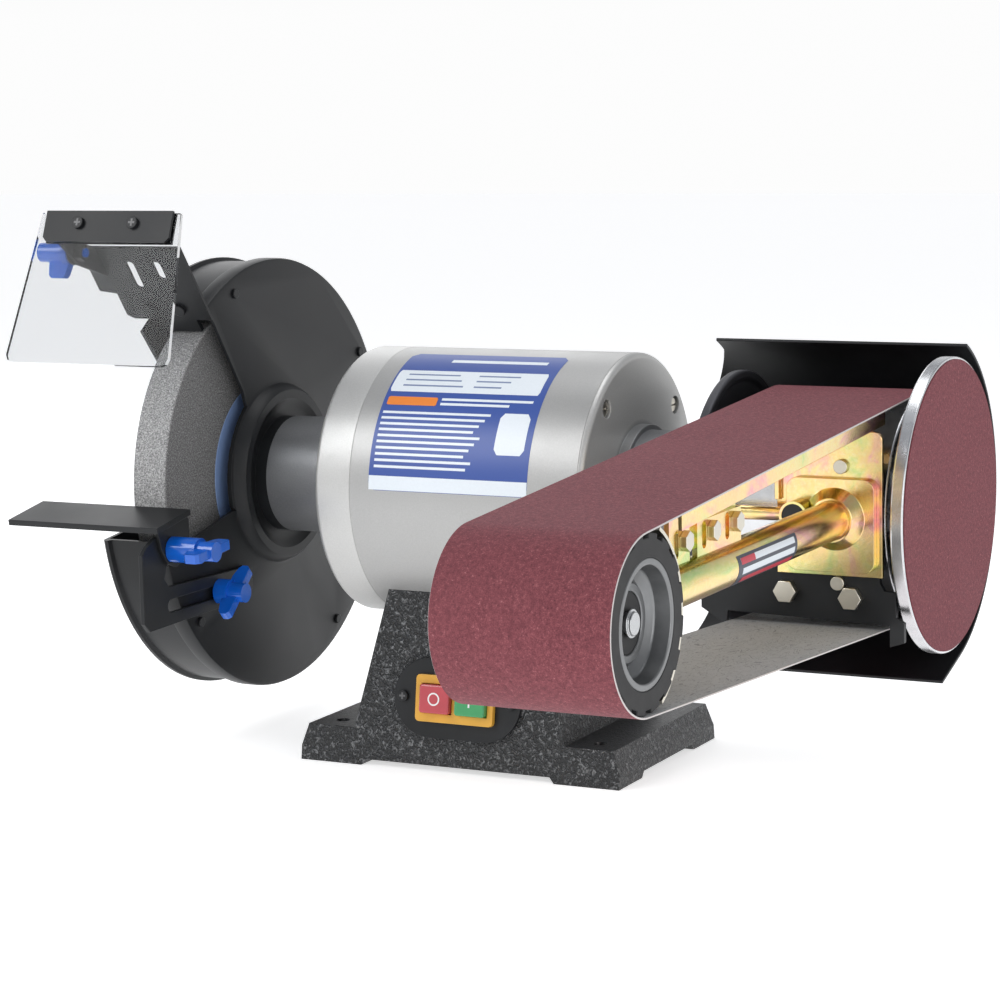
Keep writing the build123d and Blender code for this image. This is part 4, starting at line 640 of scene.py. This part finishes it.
def lathe(name, profile, steps, matrix, paints, body, kinds=None, degrees=35):
    """Round piece from (radius, height) points, turned about local Z and put in place."""
    points, faces, indices = [], [], []
    for step in range(steps):
        angle = 2 * math.pi * step / steps
        for radius, height in profile:
            points.append(matrix @ Vector((radius * math.cos(angle), radius * math.sin(angle), height)))
    ring = len(profile)
    for step in range(steps):
        after = (step + 1) % steps
        for k in range(ring - 1):
            faces.append((step * ring + k, after * ring + k, after * ring + k + 1, step * ring + k + 1))
            indices.append(kinds[k] if kinds else 0)
    mesh = mesh_from(name, points, faces)
    piece = add_object(name, mesh, paints, body)
    mesh.polygons.foreach_set("material_index", indices)
    work = bmesh.new()
    work.from_mesh(mesh)
    bmesh.ops.remove_doubles(work, verts=work.verts, dist=1e-6)
    bmesh.ops.recalc_face_normals(work, faces=work.faces)
    work.to_mesh(mesh)
    work.free()
    smooth(mesh, degrees)
    return piece


def frame_at(point, out, up=(0, 0, 1)):
    """Matrix at a point whose local Z points out and local Y is near up."""
    out = Vector(out).normalized()
    right = Vector(up).cross(out).normalized()
    across = out.cross(right)
    rows = [(right[i], across[i], out[i], point[i]) for i in range(3)]
    return Matrix((*rows, (0, 0, 0, 1)))


def slab(name, outline, depth, matrix, paint, body, bevel=0.2 * MM):
    """Flat piece from a local outline, depth thick towards local +Z."""
    count = len(outline)
    points = [matrix @ Vector((x, y, z)) for z in (0.0, depth) for x, y in outline]
    faces = [tuple(range(count))[::-1], tuple(range(count, 2 * count))]
    faces += [(i, (i + 1) % count, (i + 1) % count + count, i + count) for i in range(count)]
    mesh = mesh_from(name, points, faces)
    smooth(mesh)
    piece = add_object(name, mesh, [paint], body)
    if bevel:
        round_edges(piece, bevel, 2)
    return piece


def cross_recess(name, matrix, size, body):
    """Dark cross of a Phillips screw: a thin sheet on the head with the recess's shade painted on it, in place of a
    real recess.
    """
    arm, wide = size, size * 0.28
    quarter = [(-wide, arm), (-wide, wide), (-arm, wide)]
    outline = []
    for _ in range(4):
        outline += quarter
        quarter = [(-y, x) for x, y in quarter]
    slab(name, outline, 0.12 * MM, matrix, "recess_painted_shade", body, 0.0)


def screw_crosses(node, out, size):
    """Cross on each of the two screw heads of a node, which lie apart along X."""
    out = Vector(out).normalized()
    spots = [v.co.copy() for v in frame["nodes"][node].data.vertices]
    middle = sum(spot.x for spot in spots) / len(spots)
    for side, name in ((-1, "left"), (1, "right")):
        ours = [spot for spot in spots if (spot.x - middle) * side > 0]
        reach = max(spot.dot(out) for spot in ours)
        top = [spot for spot in ours if reach - spot.dot(out) < 0.05 * MM]
        centre = sum(top, Vector()) / len(top)
        cross_recess(f"{node}_cross_{name}", frame_at(centre, out), size, BODY_OF[node])


def switch_marks():
    """Ring on the stop button and bar on the start button."""
    ring = [(3.3, 0.0), (4.3, 0.0), (4.3, 0.15), (3.3, 0.15), (3.3, 0.0)]
    for node, body in (("stop_button", "stop"), ("start_button", "start")):
        matrix = face_matrix(node)
        normal = matrix.to_3x3().col[2]
        reach = max((v.co - matrix.translation).dot(normal) for v in frame["nodes"][node].data.vertices)
        seat = matrix @ Matrix.Translation((0, 0, reach))
        if node == "stop_button":
            profile = [(radius * MM, height * MM) for radius, height in ring]
            lathe("stop_mark", profile, 40, seat, ["mark_white"], body)
        else:
            bar = [(-0.6 * MM, -3.6 * MM), (0.6 * MM, -3.6 * MM), (0.6 * MM, 3.6 * MM), (-0.6 * MM, 3.6 * MM)]
            slab("start_mark", bar, 0.15 * MM, seat, "mark_white", body, 0.0)


# ---- everything ------------------------------------------------------------------------------------------
BEVELS = {
    "base_casting": (2.0 * MM, 3),
    "base_cover": (0.2 * MM, 1),
    "motor_shell": (0.3 * MM, 2),
    "left_end_bell": (0.6 * MM, 2),
    "right_end_bell": (0.8 * MM, 3),
    "switch_plate": (0.6 * MM, 2),
    "switch_bezel": (0.8 * MM, 3),
    "stop_button": (1.2 * MM, 3),
    "start_button": (1.2 * MM, 3),
    "grinding_wheel": (0.8 * MM, 2),
    "shield_knob": (1.8 * MM, 3),
    "rest_slide_knob": (1.8 * MM, 3),
    "rest_tilt_knob": (1.8 * MM, 3),
    "shield_panel": (0.5 * MM, 2),
    "idler_tyre": (0.6 * MM, 2),
    "idler_hub": (0.6 * MM, 2),
    "disc_plate": (0.6 * MM, 2),
    "abrasive_disc": (0.2 * MM, 1),
    "mount_hub": (0.8 * MM, 2),
    "arm_clamp": (0.8 * MM, 2),
    "lever_grip": (1.5 * MM, 3),
}
HIDDEN = ("stator_core", "stator_windings", "rotor", "capacitor", "through_bolts")


def build():
    for node in SLOT_OF:
        if node == "sanding_belt":
            continue
        if node in HIDDEN:
            repaint(node)
            continue
        width, segments = BEVELS.get(node, (0.4 * MM, 2))
        dress(node, width, segments)
    belt()
    motor_label()
    tube_label()
    switch_marks()
    screw_crosses("switch_screws", -Vector(JOINTS["stop_press"]["axis"]), 2.2 * MM)
    tilt = math.radians(SHIELD_TILT)
    screw_crosses("shield_screws", (0, -math.cos(tilt), math.sin(tilt)), 2.4 * MM)


# ---- stage, light and camera ---------------------------------------------------------------------------
def stage():
    mesh = bpy.data.meshes.new("floor")
    work = bmesh.new()
    bmesh.ops.create_grid(work, x_segments=8, y_segments=8, size=8.0)
    work.to_mesh(mesh)
    work.free()
    floor = bpy.data.objects.new("floor", mesh)
    bpy.context.scene.collection.objects.link(floor)
    paint = Paint("floor", (0.86, 0.86, 0.86), 0.7)
    cloud = paint.noise(0.6, 3.0)
    paint.color(paint.mix(cloud, (0.85, 0.85, 0.85), (0.88, 0.88, 0.88)))
    paint.rough(cloud, 0.65, 0.8)
    paint.set(Emission_Color=(1, 1, 1, 1), Emission_Strength=0.60)
    mesh.materials.append(paint.material)


def lamp(name, place, target, size, power, color=(1, 1, 1)):
    data = bpy.data.lights.new(name, "AREA")
    data.shape = "RECTANGLE"
    data.size, data.size_y = size
    data.energy = power
    data.color = color
    lamp_object = bpy.data.objects.new(name, data)
    bpy.context.scene.collection.objects.link(lamp_object)
    lamp_object.location = place
    direction = Vector(target) - Vector(place)
    lamp_object.rotation_euler = direction.to_track_quat("-Z", "Y").to_euler()


def lights():
    world = bpy.data.worlds.new("studio")
    bpy.context.scene.world = world
    world.use_nodes = True
    tree = world.node_tree
    background = tree.nodes["Background"]
    coords = tree.nodes.new("ShaderNodeTexCoord")
    parts = tree.nodes.new("ShaderNodeSeparateXYZ")
    ramp = tree.nodes.new("ShaderNodeValToRGB")
    tree.links.new(coords.outputs["Generated"], parts.inputs[0])
    tree.links.new(parts.outputs[2], ramp.inputs[0])
    elements = ramp.color_ramp.elements
    elements[0].position, elements[0].color = 0.02, (1.0, 1.0, 1.0, 1)
    elements[1].position, elements[1].color = 0.55, (0.34, 0.35, 0.37, 1)
    tree.links.new(ramp.outputs[0], background.inputs[0])
    background.inputs[1].default_value = 0.98
    lamp("key", (-1.0, -1.3, 1.3), (0, -0.1, 0.15), (0.9, 0.9), 13)
    lamp("fill", (1.7, -1.4, 0.7), (0.1, -0.1, 0.15), (1.0, 1.0), 6)
    lamp("top", (0.1, 0.3, 1.9), (0, 0, 0.2), (1.6, 0.8), 9)
    lamp("rim", (-1.2, 1.5, 1.2), (0, 0, 0.2), (1.2, 1.2), 6)


def camera():
    azimuth, elevation, roll = math.radians(27.036), math.radians(8.428), math.radians(-1.28)
    distance = 1.945
    target = Vector((-0.00324, 0.0, 0.17048))
    back = Vector((
        math.sin(azimuth) * math.cos(elevation), -math.cos(azimuth) * math.cos(elevation), math.sin(elevation),
    ))
    right = Vector((math.cos(azimuth), math.sin(azimuth), 0.0))
    up = back.cross(right)
    turned_right = right * math.cos(roll) + up * math.sin(roll)
    turned_up = up * math.cos(roll) - right * math.sin(roll)
    data = bpy.data.cameras.new("camera")
    data.sensor_width = 36.0
    data.lens = 104.29
    data.clip_start, data.clip_end = 0.05, 60.0
    view = bpy.data.objects.new("camera", data)
    bpy.context.scene.collection.objects.link(view)
    rows = [(turned_right[i], turned_up[i], back[i], target[i] + back[i] * distance) for i in range(3)]
    view.matrix_world = Matrix((*rows, (0, 0, 0, 1)))
    bpy.context.scene.camera = view


build()
stage()
lights()
camera()
bpy.context.scene.view_settings.view_transform = "Standard"
